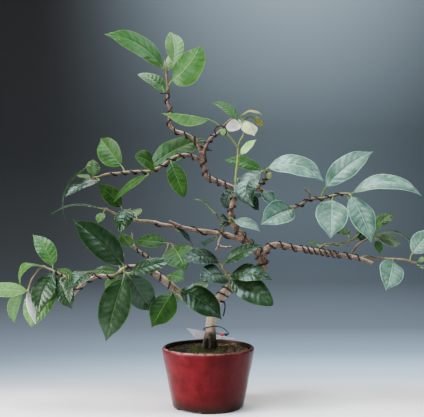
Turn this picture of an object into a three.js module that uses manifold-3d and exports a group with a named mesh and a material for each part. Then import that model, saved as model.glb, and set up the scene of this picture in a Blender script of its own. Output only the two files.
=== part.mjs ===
// A tarokaja camellia trained as a bonsai, in a round glazed pot.
// Millimetres, +Z up, and -Y is the front. The origin is on the pot's axis, on the surface that it stands on.

import * as THREE from "three";
import { mergeVertices } from "three/addons/utils/BufferGeometryUtils.js";
import Module from "manifold-3d";

const wasm = await Module();
wasm.setup();

// Clearance between two pieces that touch on the real object.
const GAP = 0.3;
const MERGE = 1e-4;

// The pot.
const POT_HEIGHT = 65.5;
const RIM_RADIUS = 50.4;
const FOOT_RADIUS = 37.6;
const FOOT_WIDTH = 4.2;
const FOOT_HEIGHT = 3;
const FLOOR_THICKNESS = 5.5;
const WALL = 5;
const DRAIN_RADIUS = 7;
const POT_SIDES = 36;
const FOOT_CUTS = 3;
const FOOT_CUT_HEIGHT = 2.2;
const FOOT_CUT_ANGLE = 45;
const FIRST_CUT_ANGLE = -34;

// The soil.
const SOIL_HEIGHT = 61;
const SOIL_MOUND = 2.5;
const SOIL_BUMP = 0.7;
const SOIL_RINGS = 4;
const SOIL_SIDES = 24;

// The net over the drain hole.
const NET_SIZE = 21;
const NET_THICKNESS = 0.8;
const NET_OPENINGS = 2;
const NET_BAR = 1.8;

// Leaves, twigs and wires.
const BLADE_THICKNESS = 0.7;
const RIB_THICKNESS = 1.1;
const BLADE_END = 0.55;
const BLADE_WAVE = 0.02;
const BLADE_STEP = 17;
const PETIOLE_RADIUS = 0.85;
const LONG_PETIOLE = 12;
const SHARP_TURN = 1.8;
const TWIG_SIDES = 5;
const WIRE_RADIUS = 0.9;
const WIRE_SIDES = 4;
const WIRE_STEPS_A_TURN = 5;

// The layout is written as the plant is seen from the front: across and up are measured in the upright
// plane through the pot's axis, and depth is how far a place lies behind that plane. Each place is carried
// along the line of sight from the eye to its own depth.
const EYE = new THREE.Vector3(4.2, -900, 217);

function seen([across, up, depth]) {
  const reach = (depth - EYE.y) / -EYE.y;
  return new THREE.Vector3(EYE.x + (across - EYE.x) * reach, depth, EYE.z + (up - EYE.z) * reach);
}

// The closed surface of a geometry as a solid.
function solidOf(geometry) {
  const bare = geometry.clone();
  bare.deleteAttribute("normal");
  bare.deleteAttribute("uv");
  const { attributes, index } = mergeVertices(bare, MERGE);
  const mesh = new wasm.Mesh({
    numProp: 3,
    vertProperties: attributes.position.array,
    triVerts: new Uint32Array(index.array),
  });
  return new wasm.Manifold(mesh);
}

function joined(solids) {
  return solids.reduce((whole, solid) => whole.add(solid));
}

// The largest body that a cut leaves, without its loose scraps.
function mainBody(solid) {
  return solid.decompose().sort((a, b) => b.volume() - a.volume())[0];
}

// A round, tapered length of wood or twig along a smooth route.
// A place on it is counted in route points: 1.5 is halfway from the second point to the third.
const FRAMES = 400;
const SPAN_PARTS = 20;

class Limb {
  constructor(points, radii) {
    this.radii = radii;
    this.last = points.length - 1;
    this.route = new THREE.CatmullRomCurve3(points, false, "centripetal");
    this.route.arcLengthDivisions = this.last * SPAN_PARTS;
    this.frames = this.route.computeFrenetFrames(FRAMES);
  }

  point(place) {
    return this.route.getPoint(place / this.last);
  }

  radius(place) {
    const before = Math.min(Math.floor(place), this.last - 1);
    return THREE.MathUtils.lerp(this.radii[before], this.radii[before + 1], place - before);
  }

  // Where a route point lies, as a share of the whole length.
  share(index) {
    const lengths = this.route.getLengths();
    return lengths[index * SPAN_PARTS] / lengths.at(-1);
  }

  frame(share) {
    const { tangents, normals, binormals } = this.frames;
    const index = Math.round(share * FRAMES);
    return { tangent: tangents[index], normal: normals[index], binormal: binormals[index] };
  }

  // A rod bent along the route, with a ring at each of its points. Grow makes it fatter and longer on all
  // sides, as a tool to cut room for it.
  geometry(sides, grow = 0) {
    const rod = new THREE.CylinderGeometry(1, 1, 1, sides, this.last);
    const position = rod.attributes.position;
    for (let i = 0; i < position.count; i++) {
      const ring = Math.round((position.getY(i) + 0.5) * this.last);
      const { tangent, normal, binormal } = this.frame(this.share(ring));
      const radius = this.radii[ring] + grow;
      const overhang = ring === 0 ? -grow : ring === this.last ? grow : 0;
      const point = this.point(ring)
        .addScaledVector(binormal, position.getX(i) * radius)
        .addScaledVector(normal, position.getZ(i) * radius)
        .addScaledVector(tangent, overhang);
      position.setXYZ(i, point.x, point.y, point.z);
    }
    return rod;
  }
}

// A limb from its layout: each row is across, up, depth and the radius there.
function limb(rows) {
  return new Limb(
    rows.map(seen),
    rows.map((row) => row[3]),
  );
}

// The wood: one grown piece.

const trunkRows = [
  [1.5, 43, 0, 7.2],
  [1.8, 61, 0, 7.2],
  [2.6, 71, 0, 6.2],
  [3.1, 88.5, 0, 5.8],
  [5.3, 104, 0, 5.9],
  [11.4, 116, 0, 5.4],
  [20.7, 127, 2, 5.2],
  [30.6, 134, 3, 5],
  [42.7, 138.6, 4, 4.8],
  [53.2, 144.6, 6, 4.9],
  [59.8, 153.4, 6, 5.3],
  [58.1, 164, 6, 5.8],
  [50.4, 173.2, 6, 4.7],
  [41.6, 182, 5, 4.2],
  [34.5, 190.3, 4, 3.7],
  [28.4, 198.5, 2, 3.4],
  [25.4, 207.3, 0, 3.2],
  [25.7, 216, -1, 3],
  [27.3, 224, -1, 3],
  [31.2, 231.5, -1, 3.2],
  [29.5, 238, -2, 3],
  [22.9, 241.4, -3, 3],
  [13, 245.3, -4, 3],
  [4.2, 249, -4, 2.9],
  [-2.1, 253.5, -4, 2.8],
  [-3.7, 260, -4, 2.7],
  [-5.2, 267.8, -4, 2.8],
  [-5.9, 276.6, -4, 2.6],
];

const leaderRows = [
  [-5.9, 275, -4, 2.5],
  [-12.3, 289.8, -4, 2.4],
  [-20, 295.9, -3, 2.3],
  [-28.8, 299.7, -2, 2.3],
  [-36.5, 302.5, -1, 2.2],
  [-42, 308.5, 0, 2.1],
  [-42.8, 316.2, 0, 2],
  [-41.1, 324, 0, 2],
  [-44.6, 333.8, 0, 1.9],
  [-44.2, 341.5, 0, 1.8],
];

const crownRows = [
  [-5.7, 275.5, -4, 2.4],
  [-1.3, 287.6, -6, 2.2],
  [4.2, 294.8, -7, 2.1],
  [10.3, 299.2, -8, 2],
  [14.7, 303.6, -8, 1.9],
];

const upperLeftRows = [
  [-6.3, 266.7, -4, 2.5],
  [-12.3, 272.2, -5, 2.4],
  [-20, 275, -6, 2.3],
  [-27.7, 275.5, -7, 2.2],
  [-36.5, 273.3, -8, 2.2],
  [-43.1, 269, -8, 2.1],
  [-49.7, 264, -8, 2],
];

const middleLeftRows = [
  [41.6, 182, 5, 3.2],
  [32.8, 184, 6, 3],
  [18.5, 188.6, 7, 2.9],
  [4.2, 190.8, 9, 2.7],
  [-11.2, 192.5, 11, 2.6],
  [-24.4, 195.2, 13, 2.4],
  [-37.6, 197.7, 15, 2.3],
  [-49.7, 199, 17, 2.2],
  [-60.7, 202.4, 19, 2.1],
];

const lowerLeftRows = [
  [5.2, 104, 0, 4],
  [-5.8, 108.3, -5, 3.8],
  [-20.1, 116, -12, 3.7],
  [-33.3, 126, -17, 3.6],
  [-45.3, 135.8, -20, 4.1],
  [-56.3, 144, -22, 3.6],
  [-68.4, 152.3, -24, 2.8],
  [-79.4, 153, -26, 2.5],
  [-90.4, 151.8, -28, 2.5],
  [-99.2, 145.7, -29, 2.3],
  [-108, 142.4, -30, 2.3],
  [-121.2, 142.7, -31, 2.2],
  [-131, 138.6, -32, 2.1],
  [-141, 131, -33, 2],
  [-148.7, 122, -33, 1.8],
];

const rightRows = [
  [57.6, 161, 6, 4.2],
  [64.2, 172, 4, 3.7],
  [71.3, 176.5, 2, 3.3],
  [80, 176.5, 0, 3.2],
  [91, 174.3, -3, 3.1],
  [106.5, 172, -7, 3],
  [118.6, 170.2, -10, 2.9],
  [131.8, 167.7, -12, 2.8],
  [145, 165.8, -14, 2.6],
  [157, 164.4, -16, 2.4],
  [170.3, 160.6, -18, 2.1],
  [181, 156.2, -19, 2.2],
];

const upperRightRows = [
  [31.2, 231, -1, 2.6],
  [41.6, 237, 1, 2.5],
  [52.6, 238.7, 3, 2.6],
  [59.2, 236.5, 5, 2.3],
  [65.8, 231, 7, 2.1],
  [79, 222.2, 9, 1.9],
  [87.8, 219, 10, 1.8],
];

const paleStubRows = [
  [-24.4, 194, 12, 1.9],
  [-33.2, 198.5, 8, 1.8],
  [-43, 203, 5, 1.6],
];

const deadTwigRows = [
  [16.3, 188.6, 6, 1.6],
  [11.9, 181, 3, 1.5],
  [12.5, 176, 1, 1.4],
  [18.5, 174.3, 0, 1.3],
  [26, 175, -1, 1.2],
];

const deadTwigStubRows = [
  [11.9, 177.6, 1, 1.2],
  [8.2, 170.3, -1, 1],
];

const leftRootRows = [
  [-1, 80, -2, 2.3],
  [-3.1, 71, -4, 2.7],
  [-4.7, 63, -5, 3],
  [-6.4, 52, -6, 2.6],
];

const rightRootRows = [
  [6.4, 69, 3, 2.8],
  [10.8, 60.5, 6, 2.5],
  [13.5, 52, 8, 2],
];

const trunk = limb(trunkRows);
const leader = limb(leaderRows);
const crown = limb(crownRows);
const upperLeft = limb(upperLeftRows);
const middleLeft = limb(middleLeftRows);
const lowerLeft = limb(lowerLeftRows);
const right = limb(rightRows);
const upperRight = limb(upperRightRows);

const TRUNK_SIDES = 8;
const BRANCH_SIDES = 6;
const STUB_SIDES = 5;

function wood(grow = 0) {
  const branches = [leader, crown, upperLeft, middleLeft, lowerLeft, right, upperRight];
  const stubs = [paleStubRows, deadTwigRows, deadTwigStubRows, leftRootRows, rightRootRows].map(limb);
  return joined([
    solidOf(trunk.geometry(TRUNK_SIDES, grow)),
    ...branches.map((branch) => solidOf(branch.geometry(BRANCH_SIDES, grow))),
    ...stubs.map((stub) => solidOf(stub.geometry(STUB_SIDES, grow))),
  ]);
}

// A leaf. Its blade runs from base to tip. Face is roughly where its upper side looks, arch is how far the
// middle of the rib rises towards that side, sway is how far it bows to its right, and fold is how far each
// half is lifted about the rib, in degrees.

// The outline of a blade is an oval, widest a little below its middle. A pointed blade is wedge-shaped at its
// base and drawn out at its tip, and a blunt one is rounder at both.
const OVAL_LOW = 0.85;
const TIP_FROM = 0.75;
const POINTED = { oval: 0.8, drawn: 0.5 };
const BLUNT = { oval: 0.6, drawn: 0.1 };

// Half the blade's width along the rib, as a share of the widest.
function outline(along, blunt) {
  const { oval, drawn } = blunt ? BLUNT : POINTED;
  const narrowing = 1 - drawn * THREE.MathUtils.smoothstep(along, TIP_FROM, 1);
  return Math.sin(Math.PI * along ** OVAL_LOW) ** oval * narrowing;
}

// The rib bends in the plane of the leaf's length and its face.
function ribOf(leaf) {
  const base = seen(leaf.base);
  const tip = seen(leaf.tip);
  const along = tip.clone().sub(base).normalize();
  const face = new THREE.Vector3(...leaf.face);
  face.addScaledVector(along, -face.dot(along)).normalize();
  const bend = base.clone().add(tip).multiplyScalar(0.5);
  bend.addScaledVector(face, 2 * (leaf.arch ?? 2));
  bend.addScaledVector(along.clone().cross(face), 2 * (leaf.sway ?? 0));
  return { rib: new THREE.QuadraticBezierCurve3(base, bend, tip), face };
}

// The stations of a leaf, from the middle of its twig along the petiole and the rib to the tip.
function stationsOf(root, leaf) {
  const { rib, face } = ribOf(leaf);
  const base = rib.getPoint(0);
  const sweep = rib.getTangent(0).multiplyScalar(-0.5 * base.distanceTo(root));
  const stalk = new THREE.QuadraticBezierCurve3(root, base.clone().add(sweep), base);
  const steps = THREE.MathUtils.clamp(Math.round(rib.getLength() / BLADE_STEP), 3, 5);
  const turn = stalk.getTangent(0).angleTo(stalk.getTangent(1));
  const bends = base.distanceTo(root) > LONG_PETIOLE || turn > SHARP_TURN;
  const petiole = (bends ? [0, 0.4, 0.75] : [0]).map((along) => ({
    point: stalk.getPoint(along),
    tangent: stalk.getTangent(along),
    half: PETIOLE_RADIUS,
    thickness: 2 * PETIOLE_RADIUS,
    wave: 0,
  }));
  const blade = Array.from({ length: steps + 1 }, (_, step) => {
    const along = step / steps;
    return {
      point: rib.getPoint(along),
      tangent: rib.getTangent(along),
      half: Math.max((leaf.width / 2) * outline(along, leaf.blunt), BLADE_END),
      thickness: THREE.MathUtils.lerp(RIB_THICKNESS, BLADE_THICKNESS, along),
      wave: BLADE_WAVE * leaf.width * (step % 2 ? 1 : -1) * outline(along, leaf.blunt),
    };
  });
  return { stations: [...petiole, ...blade], face };
}

// A thin closed leaf with its petiole: two rows of quads. Both faces are split along the same diagonals.
function leafGeometry(root, leaf) {
  const { stations, face } = stationsOf(root, leaf);
  const fold = THREE.MathUtils.degToRad(leaf.fold ?? 8);
  const points = [];
  for (const { point, tangent, half, thickness, wave } of stations) {
    const normal = face.clone().addScaledVector(tangent, -face.dot(tangent)).normalize();
    const side = new THREE.Vector3().crossVectors(tangent, normal);
    for (const hand of [-1, 0, 1]) {
      const middle = point
        .clone()
        .addScaledVector(side, hand * half * Math.cos(fold))
        .addScaledVector(normal, Math.abs(hand) * half * Math.sin(fold) + hand * wave);
      const thick = normal.clone().multiplyScalar((hand ? BLADE_THICKNESS : thickness) / Math.cos(fold) / 2);
      points.push(middle.clone().add(thick), middle.sub(thick));
    }
  }
  // A corner is named by its station, its column from the left edge, and 0 for the upper or 1 for the lower
  // face.
  const corner = (station, column, under) => (station * 3 + column) * 2 + under;
  const index = [];
  const quad = (a, b, c, d) => index.push(a, b, c, a, c, d);
  const last = stations.length - 1;
  for (let station = 0; station < last; station++) {
    const next = station + 1;
    quad(corner(station, 0, 0), corner(station, 1, 0), corner(next, 1, 0), corner(next, 0, 0));
    quad(corner(station, 0, 1), corner(next, 0, 1), corner(next, 1, 1), corner(station, 1, 1));
    quad(corner(station, 2, 0), corner(next, 2, 0), corner(next, 1, 0), corner(station, 1, 0));
    quad(corner(station, 1, 1), corner(next, 1, 1), corner(next, 2, 1), corner(station, 2, 1));
    quad(corner(station, 0, 0), corner(next, 0, 0), corner(next, 0, 1), corner(station, 0, 1));
    quad(corner(station, 2, 0), corner(station, 2, 1), corner(next, 2, 1), corner(next, 2, 0));
  }
  for (const column of [0, 1]) {
    const beside = column + 1;
    quad(corner(0, column, 0), corner(0, column, 1), corner(0, beside, 1), corner(0, beside, 0));
    quad(corner(last, column, 0), corner(last, beside, 0), corner(last, beside, 1), corner(last, column, 1));
  }
  return new THREE.BufferGeometry().setFromPoints(points).setIndex(index);
}

// A pointed oval bud on the end of a twig.
function budGeometry(bud) {
  const base = seen(bud.base);
  const way = seen(bud.tip).sub(base);
  const length = way.length();
  const profile = [0, 0.25, 0.6, 0.85, 1].map(
    (along) => new THREE.Vector2(bud.radius * Math.sin(Math.PI * along ** 0.8), along * length),
  );
  const oval = new THREE.LatheGeometry(profile, 6);
  const turn = new THREE.Quaternion().setFromUnitVectors(new THREE.Vector3(0, 1, 0), way.normalize());
  return oval.applyQuaternion(turn).translate(base.x, base.y, base.z);
}

// A spray: twigs, the leaves on them and their buds, grown together. A leaf names its place on a twig,
// or its root where it grows straight from old wood.
function spray({ twigs = [], leaves, buds = [] }) {
  const stems = twigs.map(limb);
  const pieces = stems.map((stem) => solidOf(stem.geometry(TWIG_SIDES)));
  for (const leaf of leaves) {
    const root = leaf.root ? seen(leaf.root) : stems[leaf.twig ?? 0].point(leaf.on);
    pieces.push(solidOf(leafGeometry(root, leaf)));
  }
  pieces.push(...buds.map((bud) => solidOf(budGeometry(bud))));
  return joined(pieces);
}

const apexSpray = {
  twigs: [
    [
      [-44.4, 338, 0, 1.7],
      [-44.2, 349, 0, 1.5],
      [-45.4, 360.2, 0, 1.4],
      [-46.5, 369.6, 0, 1.2],
    ],
  ],
  leaves: [
    {
      on: 2.9,
      base: [-50.8, 372.3, -3],
      tip: [-114.6, 408.6, -20],
      width: 27,
      face: [-3, -8, 6],
      arch: 5,
      sway: 7,
    },
    {
      on: 3,
      base: [-38.8, 377.8, 1],
      tip: [-42.6, 411.4, 22],
      width: 22,
      face: [2, -10, 2],
      fold: 22,
      sway: 3,
    },
    {
      on: 1,
      base: [-39.3, 358, -3],
      tip: [-9.3, 395.4, -12],
      width: 37,
      face: [-4, -10, 3],
      fold: -8,
      sway: 5,
      blunt: true,
    },
    {
      on: 0.9,
      base: [-49.2, 346.4, -2],
      tip: [-77.4, 364.4, 10],
      width: 18,
      face: [-1, -6, 8],
      sway: 4,
      blunt: true,
    },
    { on: 2.8, base: [-42, 371, 6], tip: [-27, 383, 44], width: 22, face: [2, -4, 9], arch: 4 },
  ],
  buds: [{ base: [-46.2, 367.5, 0], tip: [-47.8, 381.1, -1], radius: 2.2 }],
};

const crownSpray = {
  twigs: [
    [
      [13.6, 302.5, -8, 1.6],
      [16.3, 306.3, -9, 1.4],
      [20.7, 311.3, -9, 1.2],
      [25.7, 315.7, -8, 1],
    ],
  ],
  leaves: [
    { on: 0.7, base: [-0.3, 315.1, -13], tip: [-50.8, 321.7, -27], width: 24, face: [0, -6, 10], fold: -38 },
  ],
};

const newShootSpray = {
  twigs: [
    [
      [30.6, 236, -2, 1.7],
      [30.2, 244.7, -4, 1.5],
      [30.6, 253.5, -5, 1.4],
      [32, 266.7, -5, 1.3],
      [32.8, 275.5, -4, 1.2],
      [32.8, 284.3, -3, 1.1],
      [35, 291, -1, 1.1],
      [39.4, 299.7, 2, 1.1],
      [39.4, 313, 6, 1],
    ],
    [
      [32.8, 284, -3, 1],
      [27.3, 291.5, -5, 0.9],
      [21.8, 298, -7, 0.9],
    ],
  ],
  leaves: [
    {
      twig: 1,
      on: 2,
      base: [21, 299.4, -9.5],
      tip: [13.5, 304.5, -12],
      width: 8,
      face: [-5, -10, -2],
      arch: 1,
    },
    { on: 7.9, base: [32.4, 313.5, 8], tip: [4.2, 333, 4], width: 18, face: [4, -7, 8], fold: 18, sway: 3 },
    { on: 8, base: [36.8, 319.5, 8], tip: [59, 320, 4], width: 14, face: [0, -3, 10], arch: 4 },
    { on: 8, base: [38.1, 311.7, 9.3], tip: [17.9, 304.1, 12], width: 14, face: [1, -10, 4], arch: 1 },
    { on: 8, base: [41.6, 313.6, 2.8], tip: [50.9, 296.9, -6], width: 19, face: [4, -10, 2], fold: -18 },
    { on: 8, base: [49.2, 316.8, 11], tip: [60.8, 307.4, 18], width: 9, face: [1, -8, 5], arch: 1 },
    { on: 3.7, base: [35.6, 276.8, -7], tip: [52.6, 292.6, -13], width: 10, face: [-5, -10, 5], arch: 1 },
  ],
};

const upperLeftSpray = {
  twigs: [
    [
      [-48.6, 264.8, -8, 1.7],
      [-56.3, 260.7, -8, 1.7],
      [-64, 258, -8, 1.6],
      [-79.4, 257.6, -6, 1.6],
      [-89.3, 256.8, -4, 1.5],
      [-99.2, 255.7, -2, 1.5],
      [-111.3, 254.6, 0, 1.4],
      [-121.2, 251.3, 2, 1.2],
      [-127.8, 250.2, 3, 1],
    ],
  ],
  leaves: [
    {
      on: 1.2,
      base: [-61.9, 263.4, 1],
      tip: [-1.9, 293.1, 30],
      width: 30,
      face: [-3, -10, 5],
      arch: 4,
      sway: -3,
    },
    {
      on: 1.5,
      base: [-59.7, 262.9, -13],
      tip: [-80.6, 274.4, -34],
      width: 25,
      face: [-3, -9, 5],
      arch: 3,
      blunt: true,
    },
    { on: 2.4, base: [-66, 254, -9], tip: [-104.2, 223.8, -16], width: 20, face: [-6, -5, 8], arch: 3 },
    { on: 4.3, base: [-95.4, 264, 2], tip: [-118, 294.2, 22], width: 30, face: [-6, -9, 3], fold: 25 },
    { on: 8, base: [-126.7, 253.4, 8], tip: [-126.7, 271, 22], width: 15, face: [3, -10, 3], arch: 1 },
    { on: 7.9, base: [-132.2, 263.4, -4], tip: [-157.5, 205, -10], width: 20, face: [-9, -2, 4], arch: 12 },
    { on: 7.4, base: [-121.2, 247.6, -6], tip: [-157.5, 229.3, -32], width: 19, face: [1, -3, 10], arch: 4 },
    { on: 7.9, base: [-130, 249, 9], tip: [-146.5, 253.5, 28], width: 12, face: [0, -3, 10] },
  ],
};

const hangingLeaf = {
  leaves: [
    {
      root: [-40.5, 271, -8],
      base: [-40.4, 266, -14],
      tip: [-26.6, 229.3, -20],
      width: 20,
      face: [2, -10, 0],
      blunt: true,
    },
  ],
};

const middleLeftSpray = {
  twigs: [
    [
      [-58.5, 201.8, 18.6, 1.9],
      [-69.5, 203, 20, 1.8],
      [-77.2, 203.5, 21, 1.7],
      [-88.2, 206.2, 22, 1.5],
      [-101.4, 210.6, 23, 1.4],
      [-113.5, 216.7, 24, 1.2],
    ],
  ],
  leaves: [
    { on: 3, base: [-86, 216, 11.6], tip: [-97, 189.7, -3], width: 23, face: [-3, -9, 3], arch: 5 },
    { on: 3.6, base: [-96, 219.5, 17], tip: [-121.2, 243.6, 6], width: 20, face: [2, -10, 4], arch: 3 },
    { on: 5, base: [-122.3, 218.3, 25], tip: [-172.4, 211.2, 18], width: 20, face: [0, -1, 10], arch: 6 },
    { on: 4.9, base: [-115.7, 212, 17], tip: [-121.2, 201, 8], width: 10, face: [-2, -10, 2], arch: 1 },
    { on: 2.2, base: [-79, 208, 30], tip: [-87, 213, 60], width: 21, face: [0, -4, 9], arch: 4 },
  ],
};

const edgeOnLeaf = {
  leaves: [
    {
      root: [-36.5, 197.4, 15],
      base: [-33.2, 193, 20],
      tip: [-16.7, 174.5, 46],
      width: 20,
      face: [8, -2, 6],
      arch: 3,
    },
  ],
};

const darkLeafBehind = {
  leaves: [
    {
      root: [8, 190, 8],
      base: [9, 184.4, 14],
      tip: [-4, 175, 48],
      width: 20,
      face: [0, -5, 9],
      arch: 3,
    },
  ],
};

const shortShootSpray = {
  twigs: [
    [
      [17.4, 189.2, 7, 1.3],
      [15.8, 196.3, 4, 1.1],
      [12.5, 203.5, 2, 1],
      [8.1, 211.7, 0, 0.9],
    ],
  ],
  leaves: [
    { on: 3, base: [4.8, 214.5, -1], tip: [-17.8, 227, -8], width: 10, face: [-4, -3, 9], arch: 4 },
  ],
};

const trunkBendSpray = {
  twigs: [
    [
      [25.4, 206.6, 0, 1.5],
      [25.8, 207, -8, 1.2],
    ],
  ],
  leaves: [
    { on: 1, base: [29.5, 204, -11], tip: [56.6, 192, -27], width: 18, face: [1, -6, 9], arch: 3 },
    { on: 1, base: [21.8, 205, -10], tip: [13, 208, -21], width: 10, face: [-1, -8, 6], arch: 1 },
    { on: 0.9, base: [22.9, 201.6, -10], tip: [14, 196.5, -19], width: 9, face: [-1, -8, 6], arch: 1 },
  ],
};

const rightTipSpray = {
  twigs: [
    [
      [53.2, 238.7, 2, 1.9],
      [59.2, 244.7, 0, 1.7],
      [63.6, 251, -2, 1.6],
      [63.6, 258.5, -3, 1.4],
    ],
  ],
  leaves: [
    {
      on: 3,
      base: [66.8, 261.9, -6.7],
      tip: [127.3, 246.9, -17],
      width: 29,
      face: [1, -9, 7],
      arch: 9,
      sway: -5,
    },
    {
      on: 2.9,
      base: [57.5, 259.5, 2],
      tip: [17.3, 270, 12],
      width: 14,
      face: [-2, -10, 4],
      arch: 3,
      sway: 2,
    },
    {
      on: 2.9,
      base: [58.6, 257.4, -9],
      tip: [50.3, 218.8, -30],
      width: 27,
      face: [-4, -8, 4],
      arch: 5,
      sway: 12,
    },
  ],
  buds: [{ base: [64, 250.5, -2], tip: [69.6, 256.4, -9], radius: 3.3 }],
};

const forkLeafFront = {
  leaves: [
    {
      root: [34, 233, 0],
      base: [38.2, 231.5, 8],
      tip: [55.8, 215, 20],
      width: 16,
      face: [3, -9, 5],
      arch: 4,
    },
  ],
};

const forkLeafBehind = {
  leaves: [
    {
      root: [29.5, 236, -1],
      base: [26.8, 235.6, 7],
      tip: [17.3, 217.2, 24],
      width: 18,
      face: [-3, -9, 3],
      arch: 3,
    },
  ],
};

const backUpperSpray = {
  twigs: [
    [
      [47, 238, 3, 1.5],
      [46, 236, 16, 1.3],
      [44, 236, 30, 1.1],
    ],
  ],
  leaves: [
    { on: 2, base: [43.5, 239, 34], tip: [38, 250, 60], width: 22, face: [0, -3, 9], arch: 4 },
    { on: 1.9, base: [46, 233, 33], tip: [52, 226, 61], width: 20, face: [1, -3, 9], arch: 5 },
  ],
};

const glossyLeaf = {
  leaves: [
    { root: [62, 234.5, 6], base: [61.9, 236.4, 0], tip: [70.1, 221.6, -6], width: 17, face: [3, -9, 5] },
  ],
};

const upperRightSpray = {
  twigs: [
    [
      [85.6, 219.8, 9.7, 1.6],
      [93.3, 218, 10, 1.6],
      [102, 221, 10, 1.6],
      [111, 226.8, 9, 1.5],
      [124, 228, 7, 1.4],
      [138.4, 231, 4, 1.3],
      [146, 233.2, 3, 1.2],
      [156, 232.8, 1, 1.1],
    ],
    [
      [111.5, 227.3, 9, 1.2],
      [111.5, 232.6, 8, 1.1],
      [106, 239.2, 7, 1],
    ],
  ],
  leaves: [
    { on: 1, base: [93, 216.6, 2], tip: [57.6, 199.6, -22], width: 31, face: [2, -9, 6], fold: 18, arch: 4 },
    {
      on: 4,
      base: [130.2, 241.4, 6],
      tip: [181, 279.4, 14],
      width: 27,
      face: [-3, -10, 4],
      arch: 3,
      sway: -3,
    },
    { on: 5, base: [136.2, 226, 0], tip: [134.6, 184.2, -34], width: 35, face: [0, -10, 7], arch: 4 },
    {
      on: 7,
      base: [160.4, 235, -1],
      tip: [235.1, 230.9, -14],
      width: 25,
      face: [0, -7, 8],
      arch: 13,
      sway: -5,
    },
    { on: 6.9, base: [157.9, 229.6, -5], tip: [179.7, 180, -24], width: 30, face: [3, -10, 4], arch: 3 },
    { on: 6.5, base: [152, 230, 9], tip: [166, 207, 54], width: 26, face: [1, -5, 8], arch: 5 },
    { on: 4.6, base: [133, 225, 13], tip: [131, 203, 52], width: 24, face: [0, -5, 8], arch: 4 },
  ],
};

const lowerRightSpray = {
  twigs: [
    [
      [166, 162, -17, 1.6],
      [174, 164, -11, 1.5],
      [183.5, 163, -10, 1.4],
      [199, 161.4, -14, 1.2],
      [215.4, 160.6, -17, 1.1],
      [229.7, 156.7, -20, 0.9],
    ],
  ],
  leaves: [
    { on: 3.3, base: [203, 159, -21], tip: [195.6, 127, -52], width: 27, face: [2, -10, 5], arch: 4 },
    { on: 4.5, base: [224.8, 168, -22], tip: [247.3, 194, -26], width: 22, face: [-4, -10, 3], arch: 2 },
    { on: 4.9, base: [231.5, 158.6, -19], tip: [249, 162, -12], width: 12, face: [0, -3, 10], arch: 1 },
    { on: 5, base: [231.5, 154.6, -22], tip: [247, 149, -30], width: 12, face: [0, -4, 9], arch: 1 },
  ],
};

const smallRightSpray = {
  twigs: [
    [
      [120.8, 170.2, -10, 1.4],
      [125.2, 175.5, -8, 1.3],
      [135, 178, -6, 1.2],
      [145, 179, -4, 1.1],
      [157.7, 182, -2, 1],
      [163.7, 186.4, -1, 0.9],
    ],
  ],
  leaves: [
    { on: 3.8, base: [153.8, 187.6, 4], tip: [138, 194, 30], width: 17, face: [2, -9, 6] },
    { on: 1.3, base: [132, 176.4, -13], tip: [155, 175.4, -23], width: 9, face: [0, -4, 9], arch: 1 },
    { on: 0.9, base: [119.5, 177.6, -3], tip: [108.7, 180.5, 8], width: 8, face: [0, -5, 8], arch: 1 },
    { on: 5, base: [165.5, 189, 1], tip: [171, 195, 14], width: 10, face: [-6, -3, 6], arch: 1 },
    { on: 4.6, base: [165, 182.6, 2], tip: [177, 187.5, 18], width: 12, face: [1, -8, 6], arch: 1 },
  ],
};

const middleRightSpray = {
  twigs: [
    [
      [156.6, 164.4, -16, 1.4],
      [160, 171, -13, 1.3],
      [164.8, 177, -11, 1.2],
      [173.6, 182.6, -9, 1.1],
      [182.4, 186.4, -7, 1],
    ],
  ],
  leaves: [
    { on: 4, base: [185.7, 197, 3], tip: [201.7, 211.2, 24], width: 17, face: [-4, -9, 5] },
    { on: 3.9, base: [183.5, 191.6, -5], tip: [188.5, 207.3, 0], width: 9, face: [-3, -10, 2], arch: 1 },
    { on: 4, base: [187, 188.4, -8], tip: [227.5, 169.4, -6], width: 18, face: [4, -1, 9], arch: 11 },
    { on: 4, base: [186.5, 184.8, -3], tip: [211, 178.2, 16], width: 15, face: [1, -9, 4], arch: 2 },
    { on: 3.9, base: [185.6, 181.6, -10], tip: [188.5, 167.4, -17], width: 10, face: [2, -10, 1], arch: 1 },
  ],
};

const knotSpray = {
  twigs: [
    [
      [22.4, 129.2, 1, 2],
      [22.4, 137, -5, 1.8],
      [21.8, 143, -8, 1.6],
      [16.3, 151.2, -7, 1.5],
      [8.6, 159, -3, 1.3],
      [-3.5, 164.4, 4, 1.2],
      [-20, 171, 10, 1.1],
      [-35.4, 175.4, 12, 1],
      [-43, 178.2, 12, 0.9],
    ],
    [
      [-43, 178.2, 12, 0.9],
      [-45.3, 172, 7, 0.9],
      [-49.7, 161, 3, 0.8],
    ],
  ],
  leaves: [
    {
      on: 4,
      base: [11.3, 158.3, -10],
      tip: [-27.2, 156.1, -42],
      width: 24,
      face: [0, -9, 7],
      arch: 5,
      sway: 5,
    },
    {
      on: 2.4,
      base: [17.9, 142.9, -15],
      tip: [-8.5, 138.5, -44],
      width: 29,
      face: [0, -9, 6],
      arch: 5,
      blunt: true,
    },
    { on: 3, base: [18.4, 157.8, -11], tip: [59.1, 177, -24], width: 18, face: [1, -8, 7], arch: 3 },
    { on: 2.3, base: [25, 143.5, -13], tip: [70.1, 138.5, -28], width: 24, face: [1, -8, 7], arch: 8 },
    {
      on: 1.7,
      base: [26.7, 139.6, -12],
      tip: [71.2, 110.5, -38],
      width: 29,
      face: [2, -10, 3],
      arch: 4,
      blunt: true,
    },
    { on: 8, base: [-46, 178.9, 13], tip: [-81, 181, 26], width: 18, face: [0, -8, 6], arch: 2 },
    { on: 7.6, base: [-38.4, 175, 5], tip: [-24.5, 149, -22], width: 34, face: [0, -9, 5], arch: 4 },
  ],
};

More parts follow.
